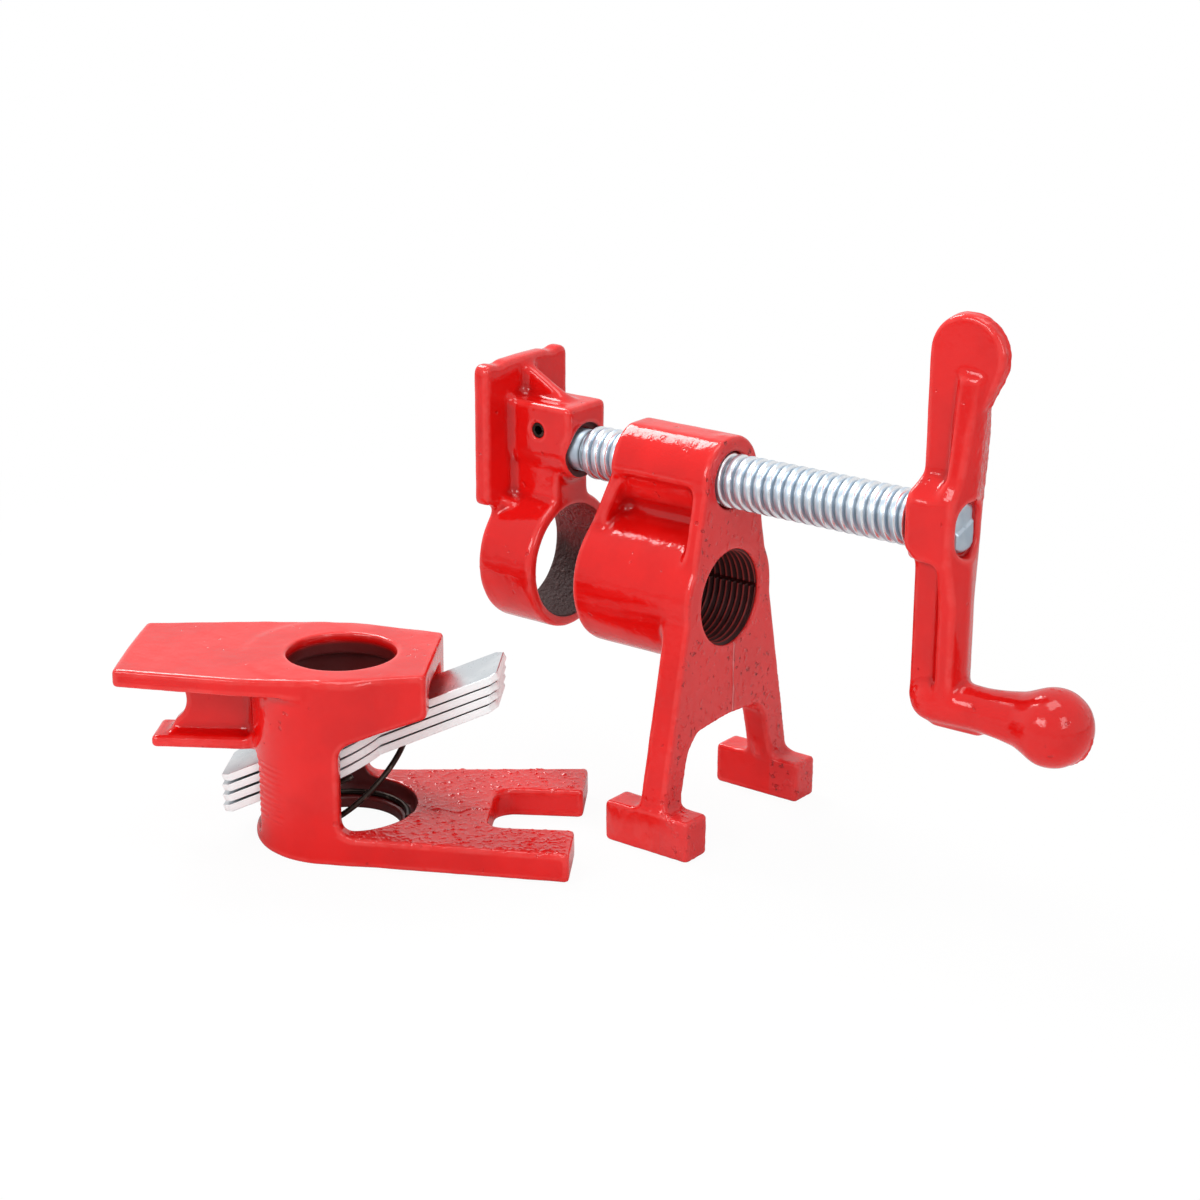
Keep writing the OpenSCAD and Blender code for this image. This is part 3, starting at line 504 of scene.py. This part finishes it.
def screw():
    """Zinc-plated screw: radius as a function of angle and place along X. The rows of the rolled
    thread climb along the right-hand helix, one pitch a turn, so each follows one line of its
    profile: wide rounded crest, straight flanks, narrow root. The neck in the jaw has the pin's
    groove, and the crank end is flattened to two flats and peened over in two lips."""
    cols, per = 96, 16
    ang = np.arange(cols) / cols * TURN
    rows = int((THREAD_TO - THREAD_FROM) / SCREW_PITCH * per) + per + 2
    i = np.arange(rows) - per
    x = THREAD_FROM + (i[:, None] / per + ang[None, :] / TURN) * SCREW_PITCH
    x = np.clip(x, THREAD_FROM, THREAD_TO)
    across = np.abs((i / per) % 1 * 2 - 1)
    depth = np.clip((across - 0.42) / 0.42, 0, 1)
    depth = depth * depth * (3 - 2 * depth)
    crown = 0.07 * np.clip(across / 0.42, 0, 1) ** 2
    grow = np.clip((x - THREAD_FROM) / 2.4, 0, 1) * np.clip((THREAD_TO - x) / 0.5, 0, 1)
    r = CORE_R + (SCREW_R - crown - THREAD_DEEP * depth - CORE_R)[:, None] * grow
    grids = [(x, r)]
    near = [(-63.0, 0.0), (-63.0, 5.0), (-62.4, NECK_R), (-59.3, NECK_R), (-59.2, 3.1),
            (-55.2, 3.1), (-55.1, NECK_R), (-45.45, NECK_R), (THREAD_FROM, CORE_R)]
    grids.append(tuple(np.array([[v[k]] * cols for v in near]) for k in (0, 1)))
    flat = np.minimum(6.1, 4.0 / np.maximum(np.abs(np.cos(ang)), 1e-6))
    share = np.array([1, 1, 1, 0.98, 0.93, 0.85, 0.74, 0.6, 0.45, 0.3, 0.15, 0])
    far_x = np.array([THREAD_TO + 0.2, 60, 65.9, 66.5, 66.85, 67.0, 67.05, 67.1, 67.1, 67.1, 67.1,
                      67.1])
    far_r = np.vstack([np.full(cols, CORE_R), flat * share[:, None]])
    far_x = np.repeat(np.concatenate([[THREAD_TO], far_x])[:, None], cols, axis=1)
    late = far_x > 66.6
    y, z = far_r * np.cos(ang), far_r * np.sin(ang)
    y, z = y[late], z[late]
    far_x[late] += 0.28 * np.tanh((0.35 - z + 0.3 * y) * 5) + 0.05 * np.sin(z * 1.3 + y)
    grids.append((far_x, far_r))
    points, quads, count = [], [], 0
    for gx, gr in grids:
        p = np.stack([gx, gr * np.cos(ang), gr * np.sin(ang) + SCREW_Z], axis=2)
        points.append(p.reshape(-1, 3))
        q = wrapped(len(gx), cols, False, gx is not x)
        if gx is x:
            k = np.arange(rows - 1 - per)
            seam = np.stack([k * cols + cols - 1, (k + 1) * cols + cols - 1, (k + 1 + per) * cols,
                             (k + per) * cols], axis=1)
            q = np.vstack([q, seam])
        quads.append(q + count)
        count += len(points[-1])
    p, q, t = welded(np.vstack(points), np.vstack(quads))
    q, t = outward(p, q, t)
    piece = mesh_piece("screw", p, q, t, "spindle")
    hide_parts("screw_spindle")
    return piece


screw_piece = screw()


def rolled_pin():
    """Pin rolled from sheet: a C-shaped wall, bent through a turn less its slit, pushed along Y."""
    ang = np.linspace(0.12, TURN - 0.12, 60)
    y = np.array([-7.45, -7.3, 7.3, 7.45])
    r_out, r_in = np.array([1.85, PIN_R, PIN_R, 1.85]), np.array([1.35, PIN_BORE_R, PIN_BORE_R, 1.35])
    loop_r = np.concatenate([r_out, r_in[::-1]])
    loop_y = np.concatenate([y, y[::-1]])
    p = np.stack([PIN_X + loop_r[None, :] * np.cos(ang)[:, None],
                  np.broadcast_to(loop_y, (len(ang), 8)),
                  SCREW_Z + PIN_UP + loop_r[None, :] * np.sin(ang)[:, None]], axis=2).reshape(-1, 3)
    q = wrapped(len(ang), 8, False, True)
    caps = np.array([[0, 1, 6, 7], [1, 2, 5, 6], [2, 3, 4, 5]])
    last = (len(ang) - 1) * 8
    q = np.vstack([q, caps, (caps + last)[:, ::-1]])
    q, _ = outward(p, q, None)
    piece = mesh_piece("rolled_pin", p, q, None, "jaw", smooth=False)
    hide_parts("retaining_pin")
    return piece


pin = rolled_pin()

# clutch plates and spring

def outline_points():
    """Outline of a clutch plate about its pipe hole: a disc with a tab at each end, whose corners
    are cut; each straight run or arc gets evenly spaced points."""
    mid, tab, far, near, corner = 16.9, 9.6, 68.2 + FULCRUM_X, -9.6 + FULCRUM_X, 2.2
    root = math.sqrt(mid * mid - tab * tab)
    arc = math.atan2(tab, root)
    runs = [np.stack([np.linspace(root, far - corner, 14), np.full(14, tab)], 1),
            np.stack([np.linspace(far - corner, far, 5), np.linspace(tab, tab - corner, 5)], 1),
            np.stack([np.full(14, far), np.linspace(tab - corner, corner - tab, 14)], 1),
            np.stack([np.linspace(far, far - corner, 5), np.linspace(corner - tab, -tab, 5)], 1),
            np.stack([np.linspace(far - corner, root, 14), np.full(14, -tab)], 1)]
    a = np.linspace(-arc, -math.pi + arc, 40)
    runs.append(np.stack([mid * np.cos(a), mid * np.sin(a)], 1))
    runs += [np.stack([np.linspace(-root, near + corner, 10), np.full(10, -tab)], 1),
             np.stack([np.linspace(near + corner, near, 5), np.linspace(-tab, corner - tab, 5)], 1),
             np.stack([np.full(14, near), np.linspace(corner - tab, tab - corner, 14)], 1),
             np.stack([np.linspace(near, near + corner, 5), np.linspace(tab - corner, tab, 5)], 1),
             np.stack([np.linspace(near + corner, -root, 10), np.full(10, tab)], 1)]
    a = np.linspace(math.pi - arc, arc, 40)
    runs.append(np.stack([mid * np.cos(a), mid * np.sin(a)], 1))
    return np.concatenate([r[:-1] for r in runs])


def clutch_plate(i):
    """Stamped plate: the outline and the hole's circle are joined by flat rings, with a small
    rounding along both edges. It is turned about its edge in the slot by its tilt."""
    out = outline_points()
    ang = np.arctan2(out[:, 1], out[:, 0])
    hole = np.stack([PLATE_HOLE_R * np.cos(ang), PLATE_HOLE_R * np.sin(ang)], 1)
    inward = -out / np.linalg.norm(out, axis=1, keepdims=True)
    t, b = 1.0, 0.28
    rings = []
    for level, sink in ((-t, b), (-t + 0.3 * b, 0.3 * b), (-t + b, 0),
                        (t - b, 0), (t - 0.3 * b, 0.3 * b), (t, b)):
        rings.append(np.column_stack([out + inward * sink, np.full(len(out), level)]))
    for share in (0.35, 0.7):
        ring = out + inward * b
        rings.append(np.column_stack([ring + (hole * 1.02 - ring) * share, np.full(len(out), t)]))
    for level, grow in ((t, 0.02), (t - 0.12, 0.0), (-t + 0.12, 0.0), (-t, 0.02)):
        rings.append(np.column_stack([hole * (1 + grow), np.full(len(out), level)]))
    for share in (0.7, 0.35):
        ring = out + inward * b
        rings.append(np.column_stack([ring + (hole * 1.02 - ring) * share, np.full(len(out), -t)]))
    p = np.array(rings)
    rows, cols = p.shape[:2]
    p = p.reshape(-1, 3)
    p[:, 0] -= FULCRUM_X
    tilt = TILT + i * FAN
    u = p[:, 0] * math.cos(tilt) - p[:, 2] * math.sin(tilt) + FULCRUM_X
    w = p[:, 0] * math.sin(tilt) + p[:, 2] * math.cos(tilt) + FULCRUM_Z - i * FULCRUM_STEP
    q = wrapped(rows, cols, True, True)
    p = np.stack([u, p[:, 1], w], 1)
    q, _ = outward(p, q, None)
    number = "%d" % (i + 1)
    piece = mesh_piece("clutch_stamping_" + number, from_tail(p), q, None, "clutch_" + number)
    flat_faces = piece.modifiers.new("crisp", "WEIGHTED_NORMAL")
    flat_faces.keep_sharp = True
    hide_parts("clutch_plate_" + number)
    return piece


plates = [clutch_plate(i) for i in range(4)]


def spring():
    """Wire of the clutch spring: one coil lies on the seat, climbs, and the last coil follows the
    underside of the lowest plate; a round section is carried along that path."""
    rings, sides, wire = 420, 18, 0.75
    turns, start, coil = 1.78, math.radians(2), 16.1
    last = TILT + 3 * FAN
    under = FULCRUM_Z - 3 * FULCRUM_STEP - 1.0 / math.cos(last)

    def path(t):
        """Middle of the wire at a share t of its length: a circle that rises from the seat to
        the plate's underside over the share from 0.3 to 0.58."""
        s = np.clip(t, 0, 1)
        ease = s * s * (3 - 2 * s)
        a = start + t * turns * TURN
        r = coil - 0.5 * ease
        u = r * np.cos(a)
        k = np.clip((t - 0.3) / 0.28, 0, 1)
        k = k * k * (3 - 2 * k)
        top = under + (u - FULCRUM_X) * math.tan(last) - (wire + 0.35) / math.cos(last)
        return np.stack([u, r * np.sin(a), (1 - k) * (SEAT_T + wire + 0.08) + k * top], -1)

    t = np.linspace(0, 1, rings)
    mid = path(t)
    d = path(t + 0.002) - path(t - 0.002)
    d /= np.linalg.norm(d, axis=1, keepdims=True)
    mid = np.vstack([mid[0] - 1.4 * d[0], mid[0] - 1.2 * d[0], mid,
                     mid[-1] + 1.2 * d[-1], mid[-1] + 1.4 * d[-1]])
    d = np.vstack([d[0], d[0], d, d[-1], d[-1]])
    side = np.cross(d, (0, 0, 1.0))
    side /= np.linalg.norm(side, axis=1, keepdims=True)
    up = np.cross(side, d)
    size = np.full(len(mid), wire)
    size[[0, -1]] = 0.5
    a = np.arange(sides) / sides * TURN
    p = (mid[:, None] + size[:, None, None] * (np.cos(a)[None, :, None] * side[:, None]
                                               + np.sin(a)[None, :, None] * up[:, None])).reshape(-1, 3)
    q = wrapped(len(mid), sides, False, True)
    p = np.vstack([p, mid[0], mid[-1]])
    ends, a0 = len(p) - 2, np.arange(sides)
    t0 = np.stack([np.full(sides, ends), (a0 + 1) % sides, a0], 1)
    base = (len(mid) - 1) * sides
    t1 = np.stack([np.full(sides, ends + 1), base + a0, base + (a0 + 1) % sides], 1)
    tri = np.vstack([t0, t1])
    area = np.einsum("ij,ij->i", p[q[:, 0]], np.cross(p[q[:, 1]], p[q[:, 2]])).sum()
    if area < 0:
        q, tri = q[:, ::-1], tri[:, ::-1]
    piece = mesh_piece("spring_wire", from_tail(p), q, tri, "tail")
    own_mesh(piece)
    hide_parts("clutch_spring")
    return piece


spring_piece = spring()

# materials

class Value:
    """A socket's value in a node tree: sums, products and powers of it add Math nodes."""

    def __init__(self, tree, socket):
        self.tree, self.socket = tree, socket

    def run(self, operation, *terms):
        """One Math node of the given kind, fed by the terms."""
        node = self.tree.nodes.new("ShaderNodeMath")
        node.operation = operation
        for slot, term in zip(node.inputs, terms):
            if isinstance(term, Value):
                self.tree.links.new(term.socket, slot)
            else:
                slot.default_value = term
        return Value(self.tree, node.outputs[0])

    def __add__(self, o): return self.run("ADD", self, o)
    def __radd__(self, o): return self.run("ADD", o, self)
    def __sub__(self, o): return self.run("SUBTRACT", self, o)
    def __rsub__(self, o): return self.run("SUBTRACT", o, self)
    def __mul__(self, o): return self.run("MULTIPLY", self, o)
    def __rmul__(self, o): return self.run("MULTIPLY", o, self)
    def __pow__(self, o): return self.run("POWER", self, o)
    def __abs__(self): return self.run("ABSOLUTE", self)

    def step(self, low, high):
        """Smooth ramp from 0 at low to 1 at high, or falling where low is the larger."""
        node = self.tree.nodes.new("ShaderNodeMapRange")
        node.interpolation_type = "SMOOTHSTEP"
        lo, hi, a, b = (low, high, 0.0, 1.0) if low < high else (high, low, 1.0, 0.0)
        for slot, term in zip(node.inputs, (self, lo, hi, a, b)):
            if isinstance(term, Value):
                self.tree.links.new(term.socket, slot)
            else:
                slot.default_value = term
        return Value(self.tree, node.outputs[0])


class Finish:
    """A material under construction: its principled shader and the nodes that feed it."""

    def __init__(self, name, **constants):
        self.material = bpy.data.materials.new(name)
        self.material.use_nodes = True
        self.tree = self.material.node_tree
        self.shader = self.tree.nodes["Principled BSDF"]
        for label, value in constants.items():
            self.shader.inputs[label.replace("_", " ")].default_value = value
        self.place = self.node("ShaderNodeTexCoord", {}, {}, "Object")
        split = self.tree.nodes.new("ShaderNodeSeparateXYZ")
        self.tree.links.new(self.place.socket, split.inputs[0])
        self.x, self.y, self.z = [Value(self.tree, s) * 1000.0 for s in split.outputs]

    def node(self, kind, settings, inputs, out=0):
        """Any other node: its type, its settings first, then values or links of its sockets."""
        node = self.tree.nodes.new(kind)
        for label, value in settings.items():
            setattr(node, label, value)
        for label, value in inputs.items():
            if isinstance(value, Value):
                self.tree.links.new(value.socket, node.inputs[label])
            else:
                node.inputs[label].default_value = value
        return Value(self.tree, node.outputs[out])

    def noise(self, scale, detail=2.0, rough=0.5):
        """Noise with about scale bumps per metre, 0 to 1."""
        inputs = {"Vector": self.place, "Scale": scale, "Detail": detail, "Roughness": rough}
        return self.node("ShaderNodeTexNoise", {}, inputs, 0)

    def sine(self, angle):
        """Sine of an angle in radians."""
        return self.node("ShaderNodeMath", {"operation": "SINE"}, {0: angle})

    def mix(self, share, a, b):
        """Colour mix of a and b by share."""
        return self.node("ShaderNodeMix", {"data_type": "RGBA"}, {0: share, 6: a, 7: b}, 2)

    def bump(self, height, distance, strength=1.0, under=None):
        """Bumped normal: height times distance in metres, over the normal of an earlier bump."""
        inputs = {"Height": height, "Distance": distance, "Strength": strength}
        if under is not None:
            inputs["Normal"] = under
        return self.node("ShaderNodeBump", {}, inputs, "Normal")

    def feed(self, **links):
        """Links values to the shader's sockets of those names."""
        for label, value in links.items():
            self.tree.links.new(value.socket, self.shader.inputs[label.replace("_", " ")])


# enamel red where it is even; a deeper red for mottle, pits and painted shade in inner corners; a paler red
# painted as highlight on edges; and near black, which is also painted shade in the mouth of the jaw's screw
# hole
RED, DEEP = (0.78, 0.006, 0.005, 1), (0.46, 0.002, 0.002, 1)
PAINTED_EDGE_HIGHLIGHT, DARK = (0.95, 0.11, 0.10, 1), (0.020, 0.004, 0.003, 1)


def enamel(name, peel, grain, marks):
    """Baked red enamel over a sand casting: inner corners are painted a deeper red as painted shade and
    edges a paler red as painted highlight, with orange peel, sand grain and a few pits."""
    f = Finish(name, IOR=1.5)
    bend = f.node("ShaderNodeAttribute", {"attribute_name": "bend"}, {}, "Fac")
    cloud = f.noise(60, 3)
    pits = f.noise(420, 1).step(0.70, 0.76) * f.noise(90, 1).step(0.50, 0.62)
    colour = f.mix(cloud.step(0.35, 0.75) * 0.35, RED, DEEP)
    # painted shade: inner corners (bend below 0) get the deeper red
    colour = f.mix(bend.step(-0.08, -0.6) * 0.85, colour, DEEP)
    # painted highlight: outer edges (bend above 0) get a paler red
    edge = bend.step(0.06, 0.5) * (0.5 + f.noise(240, 2).step(0.4, 0.6) * 0.5)
    colour = f.mix(edge * 0.28, colour, PAINTED_EDGE_HIGHLIGHT)
    colour = f.mix(pits * 0.5, colour, DEEP)
    normal = f.bump(f.noise(260, 2), 0.0008, peel)
    normal = f.bump(f.noise(900, 2, 0.6), 0.00022, grain, normal)
    normal = f.bump(1 - pits, 0.0005, 0.5, normal)
    rough = 0.06 + f.noise(150, 2) * 0.06
    colour, rough, normal = marks(f, colour, rough, normal)
    f.feed(Base_Color=colour, Roughness=rough, Normal=normal)
    return f.material


def no_marks(f, colour, rough, normal):
    """The crank's enamel, without marks of its own."""
    return colour, rough, normal


def head_marks(f, colour, rough, normal):
    """Rougher, pitted outer face of the plate, darkened as painted shade, and the parting line under the
    pipe hole, paled as painted highlight.
    """
    above = f.node("ShaderNodeMath", {"operation": "GREATER_THAN"}, {0: f.z, 1: 46.0})
    face = f.x.step(-0.6, -0.2) * (1 - above)
    line = abs(f.y - 1.6 - (f.noise(60, 1) - 0.5) * 1.6).step(0.34, 0.12)
    line = line * f.z.step(-12.0, -13.5) * face
    specks = f.noise(520, 2, 0.6).step(0.62, 0.70) * f.noise(110, 1).step(0.42, 0.6) * face
    # painted shade: the plate's outer face is painted a darker red
    colour = f.mix(face * 0.5, colour, (0.70, 0.028, 0.030, 1))
    # painted highlight: the parting ridge is painted a paler pink
    colour = f.mix(line * 0.55, colour, (0.85, 0.30, 0.30, 1))
    colour = f.mix(specks * 0.45, colour, (0.36, 0.006, 0.010, 1))
    normal = f.bump(line, 0.0004, 0.8, normal)
    normal = f.bump(1 - specks, 0.0010, 0.9, normal)
    normal = f.bump(f.noise(360, 2).step(0.56, 0.72), 0.0006, face * 0.5, normal)
    rough = rough + face * 0.16
    return colour, rough, normal


def jaw_marks(f, colour, rough, normal):
    """Wrinkled, unpainted-looking inside of the ring, nearly black at its bottom, and painted shade in the
    mouth of the screw's hole, painted near black."""
    r = (f.y * f.y + f.z * f.z) ** 0.5
    inside = r.step(15.7, 15.4)
    # the ring's inside turns nearly black towards its bottom, with brown spots
    low_inside = inside * (f.z + (f.noise(140, 3) - 0.5) * 14).step(9.0, -6.0)
    wrinkle = f.noise(700, 3, 0.65)
    colour = f.mix(inside * 0.7, colour, (0.22, 0.006, 0.008, 1))
    colour = f.mix(low_inside * 0.95, colour, DARK)
    colour = f.mix(low_inside * wrinkle.step(0.58, 0.72) * 0.35, colour, (0.20, 0.09, 0.08, 1))
    normal = f.bump(wrinkle, 0.0014, inside, normal)
    # painted shade: the mouth of the screw's hole is painted near black
    mouth = ((f.y * f.y + (f.z - SCREW_Z) ** 2.0) ** 0.5).step(7.6, 7.35) * f.x.step(-49.0, -48.6)
    colour = f.mix(mouth * 0.9, colour, DARK)
    return colour, rough + inside * 0.12 + low_inside * 0.45 + mouth * 0.5, normal


def tail_marks(f, colour, rough, normal):
    """Darker, pimpled top of the fork plate with its parting line, and painted shade inside the barrel,
    painted nearly black. u, v and w are the tail stop's own X, Y and Z."""
    c, s = math.cos(TAIL_TURN), math.sin(TAIL_TURN)
    dx, dy = f.x - float(TAIL_AT[0]), f.y - float(TAIL_AT[1])
    u, v, w = dx * c + dy * s, dy * c - dx * s, f.z - GROUND_Z
    foot = u.step(2.0, 8.0) * w.step(9.6, 8.8) * w.step(7.6, 8.3)
    skin = f.noise(520, 2, 0.5).step(0.48, 0.70)
    r = (u * u + v * v) ** 0.5
    shaded_hollow = r.step(18.9, 18.5) * w.step(48.4, 46.6)
    waver = f.sine(u * 0.28) * 1.8 + f.sine(u * 0.9) * 0.7
    line = abs(v + 2.6 + waver).step(0.6, 0.2) * foot * u.step(17.0, 19.0)
    colour = f.mix(foot * 0.35, colour, (0.50, 0.006, 0.008, 1))
    # painted shade: the inside of the barrel is painted nearly black
    colour = f.mix(shaded_hollow * 0.92, colour, (0.060, 0.005, 0.005, 1))
    rough = rough + shaded_hollow * 0.35
    colour = f.mix(line * 0.4, colour, (0.30, 0.004, 0.006, 1))
    normal = f.bump(skin, 0.0007, foot * 0.35, normal)
    return colour, rough, normal


def screw_zinc():
    """Bluish zinc: mid-tone bands along the crests; smoother shoulders painted near white as painted
    highlight, and duller roots painted darker as painted shade.
    """
    f = Finish("zinc_screw", Metallic=0.9)
    cloud, grain = f.noise(90, 3, 0.6), f.noise(900, 3, 0.6)
    r = (f.y * f.y + (f.z - SCREW_Z) ** 2.0) ** 0.5
    turned = f.x.step(THREAD_FROM - 0.5, THREAD_FROM) * f.x.step(THREAD_TO + 0.5, THREAD_TO)
    polish_and_highlight = r.step(6.15, 6.5) * r.step(6.965, 6.94) * turned
    root = r.step(6.1, 5.6) * turned
    base = f.mix(cloud.step(0.35, 0.68), (0.50, 0.60, 0.70, 1), (0.68, 0.76, 0.84, 1))
    # painted highlight: the crests' shoulders are painted near white
    base = f.mix(polish_and_highlight * 0.85, base, (0.96, 0.98, 1.0, 1))
    # painted shade: the thread's roots are painted darker
    base = f.mix(root * 0.75, base, (0.20, 0.24, 0.28, 1))
    base = f.mix(grain.step(0.60, 0.78) * 0.3, base, (0.40, 0.45, 0.52, 1))
    f.feed(Base_Color=base, Roughness=0.36 + grain * 0.08 - polish_and_highlight * 0.16)
    return f.material


def plate_zinc():
    """Bright zinc sheet: cloudy greyish faces and whiter, rougher, less metallic sheared sides."""
    f = Finish("zinc_plates")
    cloud, grain = f.noise(70, 3, 0.6), f.noise(1100, 3, 0.6)
    face = f.node("ShaderNodeNewGeometry", {}, {}, "Normal")
    up = f.node("ShaderNodeSeparateXYZ", {}, {0: face}, 2)
    flat = abs(up).step(0.5, 0.85)
    base = f.mix(cloud.step(0.35, 0.68), (0.60, 0.64, 0.67, 1), (0.78, 0.81, 0.83, 1))
    base = f.mix(grain.step(0.58, 0.78) * 0.3, base, (0.45, 0.48, 0.52, 1))
    base = f.mix((1 - flat) * 0.9, base, (0.97, 0.98, 0.98, 1))
    rough = 0.24 + grain * 0.10 + (1 - flat) * 0.1
    f.feed(Base_Color=base, Roughness=rough, Metallic=0.1 + flat * 0.9)
    return f.material


def steel():
    """Blackened spring steel with brown oxide and worn streaks."""
    f = Finish("spring_steel_black", Metallic=0.85)
    worn = f.noise(500, 3, 0.6).step(0.52, 0.70)
    base = f.mix(worn * 0.5, (0.035, 0.026, 0.022, 1), (0.22, 0.17, 0.14, 1))
    normal = f.bump(f.noise(1200, 2), 0.0001, 0.5)
    f.feed(Base_Color=base, Roughness=0.30 + worn * 0.15, Normal=normal)
    return f.material


def thread_finish():
    """Thin dark-red paint in the pipe thread, paler along the crests."""
    f = Finish("pipe_thread_paint", IOR=1.5, Specular_IOR_Level=0.25)
    r = (f.y * f.y + f.z * f.z) ** 0.5
    crest = r.step(12.45, 12.15)
    base = f.mix(crest * 0.7, (0.045, 0.002, 0.002, 1), (0.50, 0.050, 0.045, 1))
    base = f.mix(f.noise(260, 3).step(0.55, 0.7) * 0.5, base, (0.05, 0.004, 0.004, 1))
    rough, normal = 0.35 + f.noise(400, 2) * 0.15, f.bump(f.noise(900, 3), 0.0002, 0.5)
    f.feed(Base_Color=base, Roughness=rough, Normal=normal)
    return f.material


def dress(piece, material):
    """Gives a piece its one material."""
    piece.data.materials.clear()
    piece.data.materials.append(material)


dress(head, enamel("red_enamel_head", 0.16, 0.25, head_marks))
dress(jaw, enamel("red_enamel_jaw", 0.12, 0.18, jaw_marks))
dress(crank, enamel("red_enamel_crank", 0.14, 0.2, no_marks))
dress(tail, enamel("red_enamel_tail", 0.12, 0.2, tail_marks))
dress(thread, thread_finish())
dress(screw_piece, screw_zinc())
sheet_zinc = plate_zinc()
for plate in plates:
    dress(plate, sheet_zinc)
black = steel()
dress(pin, black)
dress(spring_piece, black)

# floor, light and camera

scene = bpy.context.scene
scene.view_settings.view_transform = "Standard"


def floor():
    """Plain white sheet under the clamp. Seen straight it is nearly pure white, but for the soft
    shadow, and mirrored it is dimmer."""
    i, j = np.meshgrid(np.linspace(-1, 1, 5), np.linspace(-1, 1, 5), indexing="ij")
    p = np.stack([i * 1800, j * 1800, np.full(i.shape, GROUND_Z - 0.02)], 2).reshape(-1, 3)
    mesh = bpy.data.meshes.new("ground_sheet")
    mesh.from_pydata((p * MM).tolist(), [], wrapped(5, 5, False, False).tolist())
    sheet = bpy.data.objects.new("ground_sheet", mesh)
    scene.collection.objects.link(sheet)
    f = Finish("ground_white", Roughness=0.9, Specular_IOR_Level=0.0)
    f.shader.inputs["Base Color"].default_value = (0.88, 0.88, 0.88, 1)
    rays = f.tree.nodes.new("ShaderNodeLightPath")
    seen = Value(f.tree, rays.outputs["Is Camera Ray"])
    mirrored = Value(f.tree, rays.outputs["Is Glossy Ray"])
    away = (f.x * f.x + f.y * f.y) ** 0.5
    glow = f.node("ShaderNodeEmission", {}, {"Color": (1, 1, 1, 1), "Strength": 1.0}, "Emission")
    black = f.node("ShaderNodeEmission", {}, {"Color": (0, 0, 0, 1), "Strength": 0.0}, "Emission")
    dull, both = [f.tree.nodes.new("ShaderNodeMixShader") for _ in range(2)]
    f.tree.links.new((mirrored * 0.35).socket, dull.inputs[0])
    f.tree.links.new(f.shader.outputs[0], dull.inputs[1])
    f.tree.links.new(black.socket, dull.inputs[2])
    share = seen * (0.95 + away.step(220.0, 420.0) * 0.05)
    f.tree.links.new(share.socket, both.inputs[0])
    f.tree.links.new(dull.outputs[0], both.inputs[1])
    f.tree.links.new(glow.socket, both.inputs[2])
    f.tree.links.new(both.outputs[0], f.tree.nodes["Material Output"].inputs["Surface"])
    sheet.data.materials.append(f.material)


floor()


def surround():
    """White studio: pure white where it is seen or mirrored, dimmer towards the front."""
    world = bpy.data.worlds.new("studio")
    scene.world = world
    world.use_nodes = True
    t = world.node_tree
    t.nodes.clear()
    ray = t.nodes.new("ShaderNodeLightPath")
    where = t.nodes.new("ShaderNodeTexCoord")
    split = t.nodes.new("ShaderNodeSeparateXYZ")
    t.links.new(where.outputs["Generated"], split.inputs[0])
    x, y, z = [Value(t, side) for side in split.outputs]
    front = y * -0.86 + x * 0.1 - z * 0.1
    dim = 0.82 - front.step(0.0, 0.6) * 0.12
    straight = Value(t, ray.outputs["Is Camera Ray"])
    mirror = Value(t, ray.outputs["Is Glossy Ray"])
    strength = straight + (1 - straight) * (mirror * dim + (1 - mirror) * 0.46)
    light = t.nodes.new("ShaderNodeBackground")
    light.inputs["Color"].default_value = (1, 1, 1, 1)
    t.links.new(strength.socket, light.inputs["Strength"])
    out = t.nodes.new("ShaderNodeOutputWorld")
    t.links.new(light.outputs[0], out.inputs["Surface"])


surround()


def softbox(name, at, aim, width, height, watts):
    """Rectangular soft light at a place in mm, facing another."""
    data = bpy.data.lights.new(name, "AREA")
    data.shape, data.size, data.size_y, data.energy = "RECTANGLE", width * MM, height * MM, watts
    lamp = bpy.data.objects.new(name, data)
    scene.collection.objects.link(lamp)
    a, b = np.array(at, float), np.array(aim, float)
    back = (a - b) / np.linalg.norm(a - b)
    right = np.cross((0, 0, 1.0), back)
    right /= np.linalg.norm(right)
    up = np.cross(back, right)
    rows = [[right[k], up[k], back[k], a[k] * MM] for k in range(3)]
    lamp.matrix_world = Matrix(rows + [[0, 0, 0, 1]])


softbox("key_left", (-640, 130, 690), (-20, -20, 0), 420, 360, 5.2)
softbox("fill_right", (640, -330, 400), (20, 0, 10), 240, 420, 1.1)
softbox("front", (-160, -800, 430), (0, 0, 0), 460, 260, 2.3)
softbox("top", (40, -60, 900), (-20, -20, 0), 520, 420, 2.2)


def camera():
    """Camera fitted to the view: azimuth 37.43, elevation 18.65 and roll 0.2 degrees, 669 mm off."""
    a, e, roll = math.radians(37.43), math.radians(18.65), math.radians(0.2)
    far, tx, ty = 669.36, 33.53, 0.62
    right = np.array([math.cos(a), math.sin(a), 0])
    up = np.array([-math.sin(a) * math.sin(e), math.cos(a) * math.sin(e), math.cos(e)])
    back = np.array([math.sin(a) * math.cos(e), -math.cos(a) * math.cos(e), math.sin(e)])
    r2 = math.cos(roll) * right + math.sin(roll) * up
    u2 = -math.sin(roll) * right + math.cos(roll) * up
    at = (far * back - tx * r2 - ty * u2) * MM
    data = bpy.data.cameras.new("camera")
    data.sensor_width, data.lens = 36.0, 78.36
    data.clip_start, data.clip_end = 0.01, 20
    eye = bpy.data.objects.new("camera", data)
    scene.collection.objects.link(eye)
    rows = [[r2[k], u2[k], back[k], at[k]] for k in range(3)]
    eye.matrix_world = Matrix(rows + [[0, 0, 0, 1]])
    scene.camera = eye


camera()
